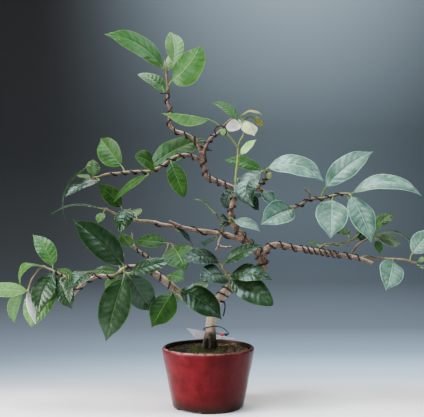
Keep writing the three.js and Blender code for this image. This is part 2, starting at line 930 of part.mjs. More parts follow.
const spurSpray = {
  twigs: [
    [
      [-34.3, 128, -17, 1.9],
      [-35, 126.5, -25, 1.6],
    ],
  ],
  leaves: [
    {
      on: 1,
      base: [-30.5, 126.5, -27],
      tip: [14.6, 95.1, -35],
      width: 30,
      face: [2, -9, 5],
      arch: 3,
      sway: -3,
    },
    { on: 1, base: [-39.3, 124.6, -29], tip: [-62.2, 86.3, -44], width: 29, face: [-2, -10, 1], fold: -14 },
  ],
};

const roundLeaf = {
  leaves: [
    {
      root: [-44.5, 136, -20],
      base: [-43, 143.6, -25],
      tip: [-25.5, 138, -37],
      width: 18,
      face: [1, -8, 6],
    },
  ],
};

const leftFanSpray = {
  twigs: [
    [
      [-92.6, 150.7, -28, 2],
      [-93.2, 149, -36, 1.8],
    ],
  ],
  leaves: [
    { on: 1, base: [-93.7, 155.6, -41], tip: [-149.3, 205, -56], width: 31, face: [3, -10, 4], arch: 5 },
    { on: 1, base: [-93, 140.6, -42], tip: [-112.4, 71, -50], width: 34, face: [-1, -10, 2], arch: 4 },
    { on: 1, base: [-87.6, 143.5, -38], tip: [-61, 103.4, -22], width: 30, face: [2, -10, -1], arch: 2 },
    { on: 1, base: [-86, 146.4, -41], tip: [-39.8, 160, -47], width: 17, face: [2, -9, 6], arch: 2 },
    { on: 1, base: [-100, 147, -40], tip: [-126.7, 149, -48], width: 12, face: [0, -7, 8], arch: 1 },
  ],
};

const farLeftSpray = {
  twigs: [
    [
      [-140, 131.8, -33, 1.6],
      [-147, 134.8, -33, 1.5],
      [-155.3, 140.2, -32, 1.4],
      [-166.3, 146.3, -30, 1.3],
      [-176.2, 150.7, -28, 1.2],
      [-181.7, 153, -27, 1.1],
      [-189.4, 145.7, -25, 1],
      [-195, 136.4, -24, 1],
      [-197.7, 127, -24, 0.9],
    ],
  ],
  leaves: [
    {
      on: 3.6,
      base: [-171, 154, -25],
      tip: [-193.3, 188, -12],
      width: 20,
      face: [3, -9, 4],
      arch: 2,
      sway: 3,
    },
    { on: 5, base: [-183.2, 153.7, -29.4], tip: [-206.5, 131.9, -36], width: 19, face: [-5, -4, 6], arch: 12 },
    { on: 8, base: [-199.4, 126.4, -24], tip: [-250, 127, -16], width: 17, face: [0, -9, 5], arch: 2 },
    {
      on: 7.9,
      base: [-204.3, 123.1, -20],
      tip: [-212.6, 90.1, 4],
      width: 14,
      face: [-3, -10, -2],
      arch: 2,
      sway: 6,
    },
    {
      on: 8,
      base: [-197.2, 124.8, -29],
      tip: [-189.5, 90.1, -42],
      width: 12,
      face: [6, -4, 0],
      arch: 2,
      sway: 4,
    },
    { on: 7.8, base: [-198.3, 120.4, -18], tip: [-194.4, 86.3, -14], width: 13, face: [-4, -8, -3], arch: 2 },
    {
      on: 3.7,
      base: [-170.2, 145.1, -35],
      tip: [-186.8, 101.7, -48],
      width: 26,
      face: [-3, -9, 2],
      arch: 2,
      sway: 3,
    },
    { on: 3, base: [-166.4, 141.8, -25], tip: [-187.3, 106.1, -22], width: 16, face: [-3, -9, 0], arch: 2 },
    { on: 2, base: [-166.4, 125.9, -24], tip: [-193.9, 86.8, -26], width: 13, face: [-3, -9, -1], arch: 2 },
    {
      on: 2.2,
      base: [-162.5, 136.3, -40],
      tip: [-149.9, 106.6, -48],
      width: 19,
      face: [-2, -10, 2],
      arch: 2,
    },
    { on: 1.5, base: [-153.5, 142.5, -39.5], tip: [-151.5, 112.7, -60], width: 12, face: [-4, -9, 1], arch: 1 },
    { on: 1.2, base: [-148.7, 141, -27], tip: [-166, 151, -6], width: 11, face: [0, -6, 8], arch: 1 },
  ],
};

const middleLeafOfLeft = {
  leaves: [
    {
      root: [-118.5, 142.5, -30.9],
      base: [-130.5, 147.5, -38],
      tip: [-149.8, 130.3, -57],
      width: 22,
      face: [-4, -9, 4],
      arch: 3,
    },
  ],
};

const sideShootSpray = {
  twigs: [
    [
      [-62.9, 148.5, -23, 1.8],
      [-59.4, 156, -22, 1.6],
      [-64, 161.7, -20, 1.5],
      [-71.7, 167.7, -18, 1.4],
      [-80.5, 173.8, -16, 1.3],
      [-82.7, 183, -14, 1.1],
      [-83.8, 190.3, -13, 0.9],
    ],
  ],
  leaves: [
    { on: 4.2, base: [-85, 175.4, -21], tip: [-96, 191, -36], width: 16, face: [-3, -10, 1], arch: 2 },
  ],
};

const backLowSpray = {
  twigs: [
    [
      [56, 149, 8, 1.8],
      [52, 146, 22, 1.5],
      [50, 143, 36, 1.3],
      [49, 140, 46, 1.1],
    ],
  ],
  leaves: [
    { on: 3, base: [50, 137, 49], tip: [60, 121, 62], width: 22, face: [1, -4, 9], arch: 4 },
    { on: 2.5, base: [45, 143.5, 44], tip: [34, 150, 61], width: 21, face: [0, -3, 9], arch: 4 },
    { on: 1.8, base: [55, 146.5, 38], tip: [62, 148, 60], width: 18, face: [1, -3, 9], arch: 3 },
  ],
};

const backLeftSpray = {
  twigs: [
    [
      [-20.1, 116.2, -11, 1.8],
      [-18.5, 117, 6, 1.5],
      [-20, 118.5, 24, 1.3],
      [-26, 118, 38, 1.1],
    ],
  ],
  leaves: [
    { on: 3, base: [-30, 116.5, 41], tip: [-50, 104, 62], width: 22, face: [-1, -4, 9], arch: 4 },
    { on: 2.6, base: [-20, 115.5, 37], tip: [0, 106, 60], width: 20, face: [0, -4, 9], arch: 3 },
    { on: 1.6, base: [-14, 124, 22], tip: [-4, 136, 52], width: 18, face: [0, -4, 9], arch: 3 },
  ],
};

const backFarSpray = {
  twigs: [
    [
      [-84, 152.5, -26, 1.7],
      [-90, 151, -12, 1.4],
      [-96, 150, 2, 1.2],
    ],
  ],
  leaves: [
    { on: 2, base: [-98, 153.5, 6], tip: [-110, 170, 42], width: 23, face: [-1, -5, 8], arch: 4 },
    { on: 1.9, base: [-98, 145, 5], tip: [-107, 112, 36], width: 23, face: [-1, -8, 5], arch: 4 },
  ],
};

// The training wires. Each is coiled round a limb, from and to as millimetres along it from its root, with
// its first turn at the given share of a turn. Head and tail are the free stretches before and after the coil.

const upperLeftWhole = limb([...upperLeftRows, ...upperLeftSpray.twigs[0].slice(1)]);

const wires = {
  wire_trunk_low: {
    host: trunk,
    from: 75,
    to: 99,
    turns: 3,
    start: 0.05,
    head: [
      [16.4, 98.5, -9],
      [18.4, 107, -9],
      [17.6, 114, -9.5],
    ],
  },
  wire_trunk: { host: trunk, loose: 0.4, from: 121, to: 229, turns: 8.6, start: 0.5 },
  wire_trunk_top: {
    host: trunk,
    from: 244,
    to: 288,
    turns: 4.8,
    start: 0.4,
    tail: [
      [-3.5, 280.5, -10],
      [4.1, 281, -9.5],
    ],
  },
  wire_leader: {
    host: leader,
    from: 8,
    to: 84,
    turns: 6,
    start: 0.1,
    tail: [
      [-44, 343.5, -5.5],
      [-53, 343.7, -4.5],
    ],
  },
  wire_crown: {
    host: crown,
    from: 8,
    to: 26,
    turns: 2,
    start: 0.1,
    tail: [
      [8.5, 298.6, -14],
      [6.9, 303, -14.5],
      [9.6, 306.9, -14.5],
      [14, 308, -14.5],
      [18.4, 306.3, -14.5],
      [20.6, 301.9, -15],
      [18.4, 297.5, -15.5],
    ],
  },
  wire_upper_left: { host: upperLeftWhole, from: 11, to: 115, turns: 9, start: 0.7 },
  wire_middle_left: { host: middleLeft, from: 14, to: 104, turns: 3.4, start: 0.5 },
  wire_lower_left: { host: lowerLeft, from: 54, to: 176, turns: 10, start: 0.65 },
  wire_side_shoot: { host: limb(sideShootSpray.twigs[0]), from: 12, to: 34, turns: 3, start: 0.1 },
  wire_far_left: { host: limb(farLeftSpray.twigs[0]), from: 17, to: 35, turns: 2.6, start: 0.1 },
  wire_right: { host: right, from: 10, to: 118, turns: 9, start: 0.1 },
  wire_right_second: { host: right, from: 58, to: 94, turns: 3, start: 0.6 },
  wire_upper_right: { host: limb(upperRightSpray.twigs[0]), from: 12, to: 66, turns: 4.6, start: 0.7 },
  wire_right_tip: { host: limb(rightTipSpray.twigs[0]), from: 6, to: 18, turns: 2, start: 0.6 },
};

function coilPoints({ host, from, to, turns, start, loose = 0 }) {
  const length = host.route.getLength();
  const count = Math.round(turns * WIRE_STEPS_A_TURN);
  const bow = Math.cos(Math.PI / WIRE_STEPS_A_TURN);
  return Array.from({ length: count + 1 }, (_, i) => {
    const share = THREE.MathUtils.lerp(from, to, i / count) / length;
    const { normal, binormal } = host.frame(share);
    const angle = 2 * Math.PI * (start + (turns * i) / count);
    const bark = host.radius(host.route.getUtoTmapping(share) * host.last);
    const radius = (bark + GAP + WIRE_RADIUS + loose) / bow;
    return host.route
      .getPointAt(share)
      .addScaledVector(normal, radius * Math.cos(angle))
      .addScaledVector(binormal, radius * Math.sin(angle));
  });
}

// A round rod of even thickness along a route of points.
function rod(points, radius, sides, steps) {
  const section = new THREE.Shape(
    Array.from({ length: sides }, (_, side) => {
      const angle = (2 * Math.PI * side) / sides;
      return new THREE.Vector2(radius * Math.cos(angle), radius * Math.sin(angle));
    }),
  );
  const extrudePath = new THREE.CatmullRomCurve3(points, false, "centripetal");
  extrudePath.arcLengthDivisions = steps * 8;
  return new THREE.ExtrudeGeometry(section, { steps, bevelEnabled: false, extrudePath });
}

function wireGeometry(wire) {
  const points = [...(wire.head ?? []).map(seen), ...coilPoints(wire), ...(wire.tail ?? []).map(seen)];
  return rod(points, WIRE_RADIUS, WIRE_SIDES, points.length - 1);
}

// The tie: a thin wire loop round the trunk, with both ends in a small black cap, and a red sleeve on it.
const TIE_RADIUS = 0.5;
const TIE_SIDES = 4;
const TIE_STEPS = 28;
const SLEEVE_SIDES = 10;
const SLEEVE_RADIUS = 2;
const CAP_RADIUS = 1.6;
const tieRoute = [
  [19.6, 78.3, -4],
  [15.5, 78.65, -4],
  [12, 79, -4],
  [9.7, 79.8, 2.4],
  [5, 81.5, 8.6],
  [-2, 83, 7],
  [-5.2, 84.5, 0],
  [-1.6, 86, -6.6],
  [4.5, 87, -7.8],
  [8.9, 87.3, -4.8],
  [13, 86.8, -4],
  [17, 85, -4],
  [20.8, 81.8, -4],
  [22.6, 79.4, -4],
  [21.6, 78.4, -4],
  [20.6, 78.4, -4],
];
const redSleeve = { from: [17.5, 78.5, -4], to: [13.4, 78.84, -4], radius: SLEEVE_RADIUS };
const blackCap = { from: [21.2, 78.3, -4], to: [18.2, 78.4, -4], radius: CAP_RADIUS };

// A short tube round the tie wire.
function sleeveGeometry({ from, to, radius }) {
  const start = seen(from);
  const way = seen(to).sub(start);
  const bore = TIE_RADIUS + 2 * GAP;
  const profile = [
    [bore, 0],
    [radius, 0],
    [radius, way.length()],
    [bore, way.length()],
    [bore, 0],
  ];
  const tube = new THREE.LatheGeometry(
    profile.map((point) => new THREE.Vector2(...point)),
    SLEEVE_SIDES,
  );
  const turn = new THREE.Quaternion().setFromUnitVectors(new THREE.Vector3(0, 1, 0), way.normalize());
  return tube.applyQuaternion(turn).translate(start.x, start.y, start.z);
}

// The blank label. Its stake stands in the soil behind the trunk and leans back on the rim, which carries the
// slanted head. Its outline is drawn in its own leaning plane.
const LABEL_THICKNESS = 0.9;
const LABEL_LEAN = 31.8;
const LABEL_FOOT = [37.1, 52];
const STAKE = { left: -0.5, right: 5.5, bottom: -2, top: 16.2 };
const labelOutline = [
  [STAKE.left, STAKE.bottom],
  [STAKE.right, STAKE.bottom],
  [STAKE.right, STAKE.top],
  [29, 16],
  [30, 17.2],
  [22.6, 18.6],
  [8.7, 21.4],
  [-4, 26],
  [-25, 29.6],
  [-13.2, 16.6],
  [STAKE.left, STAKE.top],
];
const slotOutline = [
  [STAKE.left - GAP, STAKE.bottom - GAP],
  [STAKE.right + GAP, STAKE.bottom - GAP],
  [STAKE.right + GAP, STAKE.top],
  [STAKE.left - GAP, STAKE.top],
];

function leaningSheet(outline, grow = 0) {
  const shape = new THREE.Shape(outline.map((point) => new THREE.Vector2(...point)));
  const sheet = new THREE.ExtrudeGeometry(shape, { depth: LABEL_THICKNESS + 2 * grow, bevelEnabled: false });
  sheet.translate(0, 0, -grow).rotateX(Math.PI / 2 - THREE.MathUtils.degToRad(LABEL_LEAN));
  return sheet.translate(0, ...LABEL_FOOT);
}

// A turned shape from a closed profile of radius and height, about the pot's axis.
function turned(profile, sides) {
  return new THREE.LatheGeometry(
    profile.map((point) => new THREE.Vector2(...point)),
    sides,
  ).rotateX(Math.PI / 2);
}

const FLOOR_TOP = FOOT_HEIGHT + FLOOR_THICKNESS;
const FOOT_INNER = FOOT_RADIUS - FOOT_WIDTH;
const INNER_FLOOR = 35;
const INNER_SHOULDER = [39, FLOOR_TOP + 4];
const INNER_RIM = [RIM_RADIUS - WALL, POT_HEIGHT - 6];

function pot() {
  const profile = [
    [DRAIN_RADIUS, FOOT_HEIGHT],
    [FOOT_INNER - 0.6, FOOT_HEIGHT],
    [FOOT_INNER, 0],
    [FOOT_RADIUS, 0],
    [FOOT_RADIUS + 1.3, 1],
    [FOOT_RADIUS + 2, 4.5],
    [RIM_RADIUS - 6.4, 26],
    [RIM_RADIUS - 1.6, 50],
    [RIM_RADIUS, POT_HEIGHT - 3],
    [RIM_RADIUS - 1.6, POT_HEIGHT],
    [RIM_RADIUS - 3.4, POT_HEIGHT - 0.3],
    INNER_RIM,
    INNER_SHOULDER,
    [INNER_FLOOR, FLOOR_TOP],
    [DRAIN_RADIUS, FLOOR_TOP],
    [DRAIN_RADIUS, FOOT_HEIGHT],
  ];
  const cuts = Array.from({ length: FOOT_CUTS }, (_, cut) => {
    const middle = THREE.MathUtils.degToRad(FIRST_CUT_ANGLE + (360 / FOOT_CUTS) * cut - 90);
    const half = THREE.MathUtils.degToRad(FOOT_CUT_ANGLE / 2);
    const sector = new THREE.Shape().absarc(0, 0, RIM_RADIUS, middle - half, middle + half).lineTo(0, 0);
    const wedge = new THREE.ExtrudeGeometry(sector, { depth: 2 * FOOT_CUT_HEIGHT, bevelEnabled: false });
    return solidOf(wedge.translate(0, 0, -FOOT_CUT_HEIGHT));
  });
  return cuts.reduce((body, cut) => body.subtract(cut), solidOf(turned(profile, POT_SIDES)));
}

// The soil fills the pot to below the rim. Its top is a low mound, crumbled by a formula.
function soil() {
  const netRecess = [NET_SIZE * Math.SQRT1_2 + GAP, FLOOR_TOP + NET_THICKNESS + 2 * GAP];
  const [rimRadius] = INNER_RIM;
  const edge = rimRadius - GAP;
  const profile = [
    [0, netRecess[1]],
    netRecess,
    [netRecess[0], FLOOR_TOP + GAP],
    [INNER_FLOOR - GAP, FLOOR_TOP + GAP],
    [INNER_SHOULDER[0] - GAP, INNER_SHOULDER[1] + GAP],
    [edge, SOIL_HEIGHT - SOIL_BUMP],
  ];
  for (let ring = SOIL_RINGS - 1; ring >= 0; ring--) {
    const share = ring / SOIL_RINGS;
    profile.push([edge * share, SOIL_HEIGHT + SOIL_MOUND * (1 - share ** 2)]);
  }
  const body = turned(profile, SOIL_SIDES);
  const position = body.attributes.position;
  for (let i = 0; i < position.count; i++) {
    const x = position.getX(i);
    const y = position.getY(i);
    if (position.getZ(i) > SOIL_HEIGHT - SOIL_BUMP / 2) {
      const crumb = Math.sin(0.31 * x + 0.17 * y) + Math.cos(0.23 * x - 0.37 * y);
      position.setZ(i, position.getZ(i) + (SOIL_BUMP * crumb) / 2);
    }
  }
  return solidOf(body);
}

// A square net of crossed bars, on the pot's floor over the drain hole.
function net() {
  const bars = [];
  for (let bar = 0; bar <= NET_OPENINGS; bar++) {
    const place = (bar / NET_OPENINGS - 0.5) * (NET_SIZE - NET_BAR);
    const along = new THREE.BoxGeometry(NET_SIZE, NET_BAR, NET_THICKNESS).translate(0, place, 0);
    const across = new THREE.BoxGeometry(NET_BAR, NET_SIZE, NET_THICKNESS).translate(place, 0, 0);
    bars.push(solidOf(along), solidOf(across));
  }
  return joined(bars).translate([0, 0, FLOOR_TOP + GAP + NET_THICKNESS / 2]);
}

// Materials.
const finishes = {
  glaze: { color: 0x8a2a30, roughness: 0.35 },
  soil: { color: 0x2d251c, roughness: 1 },
  bark: { color: 0x7a5a42, roughness: 0.85 },
  darkLeaf: { color: 0x2c5a3c, roughness: 0.4 },
  greenLeaf: { color: 0x3f7a38, roughness: 0.45 },
  paleLeaf: { color: 0x8fae78, roughness: 0.45 },
  wire: { color: 0x1f1d20, roughness: 0.5, metalness: 0.8 },
  label: { color: 0xe8dcdc, roughness: 0.6 },
  red: { color: 0xd2525c, roughness: 0.5 },
  black: { color: 0x151518, roughness: 0.5 },
  net: { color: 0x25282a, roughness: 0.7 },
};

const bonsai = new THREE.Group();

function add(name, geometry, finish) {
  geometry.computeVertexNormals();
  const mesh = new THREE.Mesh(geometry, new THREE.MeshStandardMaterial(finishes[finish]));
  mesh.name = name;
  bonsai.add(mesh);
}

function geometryOf(solid) {
  const { vertProperties, triVerts } = solid.getMesh();
  return new THREE.BufferGeometry()
    .setAttribute("position", new THREE.BufferAttribute(vertProperties, 3))
    .setIndex(new THREE.BufferAttribute(triVerts, 1));
}

const room = wood(GAP);
const slot = solidOf(leaningSheet(slotOutline, GAP));

add("pot", geometryOf(pot()), "glaze");
add("soil", geometryOf(mainBody(soil().subtract(room).subtract(slot))), "soil");
add("drain_net", geometryOf(net()), "net");
add("wood", geometryOf(wood()), "bark");
add("label", leaningSheet(labelOutline), "label");
add("tie_wire", rod(tieRoute.map(seen), TIE_RADIUS, TIE_SIDES, TIE_STEPS), "wire");
add("tie_sleeve", sleeveGeometry(redSleeve), "red");
add("tie_cap", sleeveGeometry(blackCap), "black");

for (const [name, wire] of Object.entries(wires)) {
  add(name, wireGeometry(wire), "wire");
}

const sprays = {
  spray_apex: [apexSpray, "greenLeaf"],
  spray_crown: [crownSpray, "paleLeaf"],
  spray_new_shoot: [newShootSpray, "paleLeaf"],
  spray_upper_left: [upperLeftSpray, "greenLeaf"],
  leaf_hanging: [hangingLeaf, "greenLeaf"],
  spray_middle_left: [middleLeftSpray, "darkLeaf"],
  leaf_edge_on: [edgeOnLeaf, "darkLeaf"],
  leaf_behind_trunk: [darkLeafBehind, "darkLeaf"],
  spray_short_shoot: [shortShootSpray, "darkLeaf"],
  spray_trunk_bend: [trunkBendSpray, "darkLeaf"],
  spray_right_tip: [rightTipSpray, "darkLeaf"],
  leaf_fork_front: [forkLeafFront, "darkLeaf"],
  leaf_fork_behind: [forkLeafBehind, "darkLeaf"],
  spray_back_upper: [backUpperSpray, "darkLeaf"],
  leaf_glossy: [glossyLeaf, "darkLeaf"],
  spray_upper_right: [upperRightSpray, "darkLeaf"],
  spray_lower_right: [lowerRightSpray, "darkLeaf"],
  spray_small_right: [smallRightSpray, "darkLeaf"],
  spray_middle_right: [middleRightSpray, "darkLeaf"],
  spray_knot: [knotSpray, "darkLeaf"],
  spray_spur: [spurSpray, "darkLeaf"],
  leaf_round: [roundLeaf, "darkLeaf"],
  spray_left_fan: [leftFanSpray, "darkLeaf"],
  spray_far_left: [farLeftSpray, "greenLeaf"],
  leaf_left_middle: [middleLeafOfLeft, "darkLeaf"],
  spray_side_shoot: [sideShootSpray, "greenLeaf"],
  spray_back_low: [backLowSpray, "darkLeaf"],
  spray_back_left: [backLeftSpray, "darkLeaf"],
  spray_back_far: [backFarSpray, "darkLeaf"],
};

for (const [name, [layout, finish]] of Object.entries(sprays)) {
  add(name, geometryOf(mainBody(spray(layout).subtract(room))), finish);
}

export default bonsai;
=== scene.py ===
# %% [markdown]
# # A tarokaja camellia bonsai in its pot
# The imported model is loaded first. It is the fixed frame: each finer piece made below replaces one of its
# nodes, at the same place and in metres.

# %% The frame
import math
import random

import bmesh
import bpy
from mathutils import Matrix, Vector, geometry, noise


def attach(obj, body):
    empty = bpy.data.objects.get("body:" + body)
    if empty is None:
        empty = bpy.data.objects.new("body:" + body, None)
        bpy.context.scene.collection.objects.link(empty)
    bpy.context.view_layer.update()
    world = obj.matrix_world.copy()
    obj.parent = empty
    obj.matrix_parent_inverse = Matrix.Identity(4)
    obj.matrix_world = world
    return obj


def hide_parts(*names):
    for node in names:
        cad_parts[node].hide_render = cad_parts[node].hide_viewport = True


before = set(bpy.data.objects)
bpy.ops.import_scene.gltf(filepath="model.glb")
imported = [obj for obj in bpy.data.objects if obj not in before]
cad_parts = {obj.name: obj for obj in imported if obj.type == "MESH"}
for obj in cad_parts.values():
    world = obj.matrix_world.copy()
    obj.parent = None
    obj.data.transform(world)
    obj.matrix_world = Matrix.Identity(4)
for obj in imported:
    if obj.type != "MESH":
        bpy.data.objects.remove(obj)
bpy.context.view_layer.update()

# %% [markdown]
# The plant is laid out as it is seen from the front. Across and up are measured in the upright plane through
# the pot's axis, in millimetres, and depth is how far a place lies behind that plane. The function seen
# carries each place along the line of sight from the eye to its own depth, and gives it in metres.

# %% The eye and the layout's places
MM = 0.001
EYE = Vector((4.2, -900, 217))


def seen(row):
    across, up, depth = row[:3]
    reach = (depth - EYE.y) / -EYE.y
    place = Vector((EYE.x + (across - EYE.x) * reach, depth, EYE.z + (up - EYE.z) * reach))
    return place * MM


# %% [markdown]
# The camera stands where the eye is and looks level along +Y, because the pot's rim and the trunk show no
# tilt. In the photograph 1.1 mm of the plant's plane falls on one pixel, and the picture is 424 pixels wide.
# The sensor is 36 mm wide, which gives the focal length.

# %% The camera
PICTURE_WIDTH = 424
MM_A_PIXEL = 1.1
SENSOR = 36
FARTHEST = 20
camera = bpy.data.objects.new("camera", bpy.data.cameras.new("camera"))
camera.data.sensor_width = SENSOR
camera.data.lens = -EYE.y / MM_A_PIXEL * SENSOR / PICTURE_WIDTH
camera.data.clip_end = FARTHEST
camera.location = EYE * MM
camera.rotation_euler = (math.radians(90), 0, 0)
bpy.context.scene.collection.objects.link(camera)
bpy.context.scene.camera = camera
print("lens, mm:", round(camera.data.lens, 1))

# %% [markdown]
# Every finish is a tree of shader nodes. One function turns a colour written in sRGB into the linear values
# that the shader wants. Another fills one socket, with a link when it gets another node's output, and with a
# colour or a number otherwise. One small function adds a node. Its settings go by name, with the stops of a
# colour ramp among them, and its sources fill the sockets that the editor shows, from the top down. It gives
# the output that is asked for by name, or the topmost.

# %% Adding a node


def linear(colour):
    values = [value / 255 for value in bytes.fromhex(colour)]
    return [v / 12.92 if v <= 0.04045 else ((v + 0.055) / 1.055) ** 2.4 for v in values] + [1]


def fill(tree, socket, value):
    if isinstance(value, bpy.types.NodeSocket):
        tree.links.new(value, socket)
    else:
        socket.default_value = linear(value) if isinstance(value, str) else value


def add_node(tree, kind, settings=(), sources=(), output=""):
    made = tree.nodes.new("ShaderNode" + kind)
    for name, value in dict(settings).items():
        if name == "stops":
            set_stops(made.color_ramp.elements, value)
        elif hasattr(made, name):
            setattr(made, name, value)
        else:
            fill(tree, made.inputs[name], value)
    for socket, value in zip([socket for socket in made.inputs if socket.enabled], sources):
        fill(tree, socket, value)
    return next(socket for socket in made.outputs if socket.enabled and output in ("", socket.name))


def set_stops(cells, stops):
    while len(cells) < len(stops):
        cells.new(0.5)
    for cell, (place, colour) in zip(cells, stops):
        cell.position = place
        cell.color = linear(colour)


# %% [markdown]
# Most finishes share a few steps. Spots have a size in millimetres. Whatever covers a part of the surface is
# a layer over a base colour: its share, from 0 to 1, and its own colour. Many a share is a pattern sent
# through a ramp from black to white. The surface is then a colour and a relief of a depth in millimetres.

# %% What the finishes share
SUM = {"operation": "ADD"}
PRODUCT = {"operation": "MULTIPLY"}
LESS = {"operation": "SUBTRACT"}
TIMES_PLUS = {"operation": "MULTIPLY_ADD"}
SOFT = {"interpolation_type": "SMOOTHSTEP"}


def new_finish(name, settings):
    made = bpy.data.materials.new(name)
    made.use_nodes = True
    shader = made.node_tree.nodes["Principled BSDF"]
    for socket, value in settings.items():
        fill(made.node_tree, shader.inputs[socket], value)
    return made, made.node_tree, shader


def spots(tree, size, detail=3.0, roughness=0.55):
    where = add_node(tree, "TexCoord", output="Object")
    settings = {"Scale": 1 / (size * MM), "Detail": detail, "Roughness": roughness}
    return add_node(tree, "TexNoise", settings, [where])


def black_to_white(low, high):
    return {"stops": [(low, "000000"), (high, "ffffff")]}


def layered(tree, colour, *layers):
    for share, cover in layers:
        colour = add_node(tree, "Mix", {"data_type": "RGBA"}, [share, colour, cover])
    return colour


def set_surface(tree, shader, colour, height, depth):
    relief = add_node(tree, "Bump", {"Distance": depth * MM, "Height": height})
    fill(tree, shader.inputs["Base Color"], colour)
    fill(tree, shader.inputs["Normal"], relief)


# %% [markdown]
# The photograph was taken before a sheet that is pale under the pot and runs up into a dim, blue-grey wall.
# A floor and a wall could stand for it, but then their edge would show, so it is one grid, bent up well
# behind the plant. Its measures are in metres. It is a stage piece, not part of the object.

# %% The sheet behind the plant
SHEET_WIDTH = 6.0
SHEET_FRONT = -2.0
SHEET_TURN = 1.5
SHEET_BEND = 0.4
SHEET_TOP = 2.6
SHEET_STEPS = 120


def sheet_place(along):
    flat = SHEET_TURN - SHEET_FRONT
    arc = SHEET_BEND * math.pi / 2
    if along < flat:
        return SHEET_FRONT + along, 0.0
    if along < flat + arc:
        angle = (along - flat) / SHEET_BEND
        return SHEET_TURN + SHEET_BEND * math.sin(angle), SHEET_BEND * (1 - math.cos(angle))
    return SHEET_TURN + SHEET_BEND, SHEET_BEND + along - flat - arc


def studio_sheet():
    shape = bmesh.new()
    length = SHEET_TURN - SHEET_FRONT + SHEET_BEND * math.pi / 2 + SHEET_TOP
    bmesh.ops.create_grid(shape, x_segments=2, y_segments=SHEET_STEPS, size=0.5)
    for corner in shape.verts:
        depth, height = sheet_place((corner.co.y + 0.5) * length)
        corner.co = (corner.co.x * SHEET_WIDTH, depth, height)
    for face in shape.faces:
        face.smooth = True
    mesh = bpy.data.meshes.new("studio_sheet")
    shape.to_mesh(mesh)
    shape.free()
    piece = bpy.data.objects.new("studio_sheet", mesh)
    bpy.context.scene.collection.objects.link(piece)
    return piece


sheet = studio_sheet()
print("sheet, m:", [round(side, 2) for side in sheet.dimensions])

# %% [markdown]
# The sheet is matt paper. Its colours are painted light and shade: painted shade at the left and toward the
# top, painted light at the right. Its colour follows the way along it, from the front over the bend to the
# top. Two lists of colours, for its side of painted shade and for its side of painted light, blend across
# the width.

# %% The colours of the sheet
PAINTED_LIGHT_PLACE = 0.34
PAINTED_LIGHT_REACH = 0.95
HEIGHT_SHARE = 1.6
COLOURS_START = -0.2
COLOURS_END = 3.4
# Painted shade: the colours of the dim left side. Painted light: the colours of the clear right side.
PAINTED_SHADE_SIDE = [(0.05, "f4f4f4"), (0.085, "70808a"), (0.12, "44505a"), (0.3, "333d46"), (0.6, "202629")]
PAINTED_SHADE_SIDE += [(1.0, "080a0b")]
PAINTED_LIGHT_SIDE = [(0.07, "f6f6f4"), (0.1, "a8c0cc"), (0.15, "6a8292"), (0.22, "4d5b66"), (0.55, "414e58")]
PAINTED_LIGHT_SIDE += [(0.8, "56646a"), (1.0, "8a9da7")]


def sheet_finish():
    made, tree, shader = new_finish("matt paper with painted light and shade", {"Roughness": 0.9})
    where = add_node(tree, "TexCoord", output="Object")
    x, y, z = add_node(tree, "SeparateXYZ", (), [where]).node.outputs
    path = add_node(tree, "Math", TIMES_PLUS, [z, HEIGHT_SHARE, y])
    along = add_node(tree, "MapRange", (), [path, COLOURS_START, COLOURS_END])
    dim = add_node(tree, "ValToRGB", {"stops": PAINTED_SHADE_SIDE}, [along])
    clear = add_node(tree, "ValToRGB", {"stops": PAINTED_LIGHT_SIDE}, [along])
    off = add_node(tree, "Math", LESS, [x, PAINTED_LIGHT_PLACE])
    away = add_node(tree, "Math", {"operation": "ABSOLUTE"}, [off])
    # the painted light at the right is blended over the painted shade at the left
    share = add_node(tree, "MapRange", SOFT, [away, PAINTED_LIGHT_REACH, 0.0])
    set_surface(tree, shader, layered(tree, dim, (share, clear)), spots(tree, 3), 0.05)
    return made


sheet.data.materials.append(sheet_finish())
print(len(PAINTED_SHADE_SIDE), "colours on the dim side and", len(PAINTED_LIGHT_SIDE), "on the clear one")

# %% [markdown]
# The light is soft. A large panel hangs over the plant, somewhat to the left, and puts the bluish sheen on
# the leaves that face up. A small one at the upper right fills the shade. A tall panel at the left lights
# the left side of the pot and of the leaves, and a narrow beam low at the left brightens the pot alone. The
# last panel hangs behind the plant and lights the floor and the sheet. Each row gives a panel's place, the
# spot that it faces, its width and height, its power in watts and its colour.

# %% The lights
PANELS = {
    "panel_over": ((-0.35, -0.3, 1.45), (0, 0, 0.2), (0.65, 0.55), 38, "eef4ff"),
    "panel_right": ((0.8, -0.3, 1.3), (0.1, 0, 0.2), (0.4, 0.4), 10, "eef4ff"),
    "panel_left": ((-1.25, -0.35, 0.5), (0, 0, 0.1), (0.45, 0.7), 30, "fff0f4"),
    "panel_low": ((-0.9, -0.35, 0.16), (0, 0, 0.02), (0.2, 0.2), 0.28, "ffe6ec"),
    "panel_floor": ((0.0, 1.2, 2.2), (0, 0.4, 0), (1.8, 0.8), 48, "fffaf2"),
}
BEAM_ANGLE = 30
ROOM_COLOUR = "8c96a0"
ROOM_STRENGTH = 0.3

for name, (place, target, size, power, colour) in PANELS.items():
    light = bpy.data.lights.new(name, "AREA")
    light.shape = "RECTANGLE"
    light.size, light.size_y = size
    light.energy = power
    light.color = linear(colour)[:3]
    if name == "panel_low":
        light.spread = math.radians(BEAM_ANGLE)
    lamp = bpy.data.objects.new(name, light)
    way = Vector(target) - Vector(place)
    lamp.matrix_world = Matrix.Translation(place) @ way.to_track_quat("-Z", "Y").to_matrix().to_4x4()
    bpy.context.scene.collection.objects.link(lamp)
world = bpy.data.worlds.new("room")
world.use_nodes = True
room = world.node_tree.nodes["Background"].inputs
room["Color"].default_value = linear(ROOM_COLOUR)
room["Strength"].default_value = ROOM_STRENGTH
bpy.context.scene.world = world
print(len(PANELS), "panels")

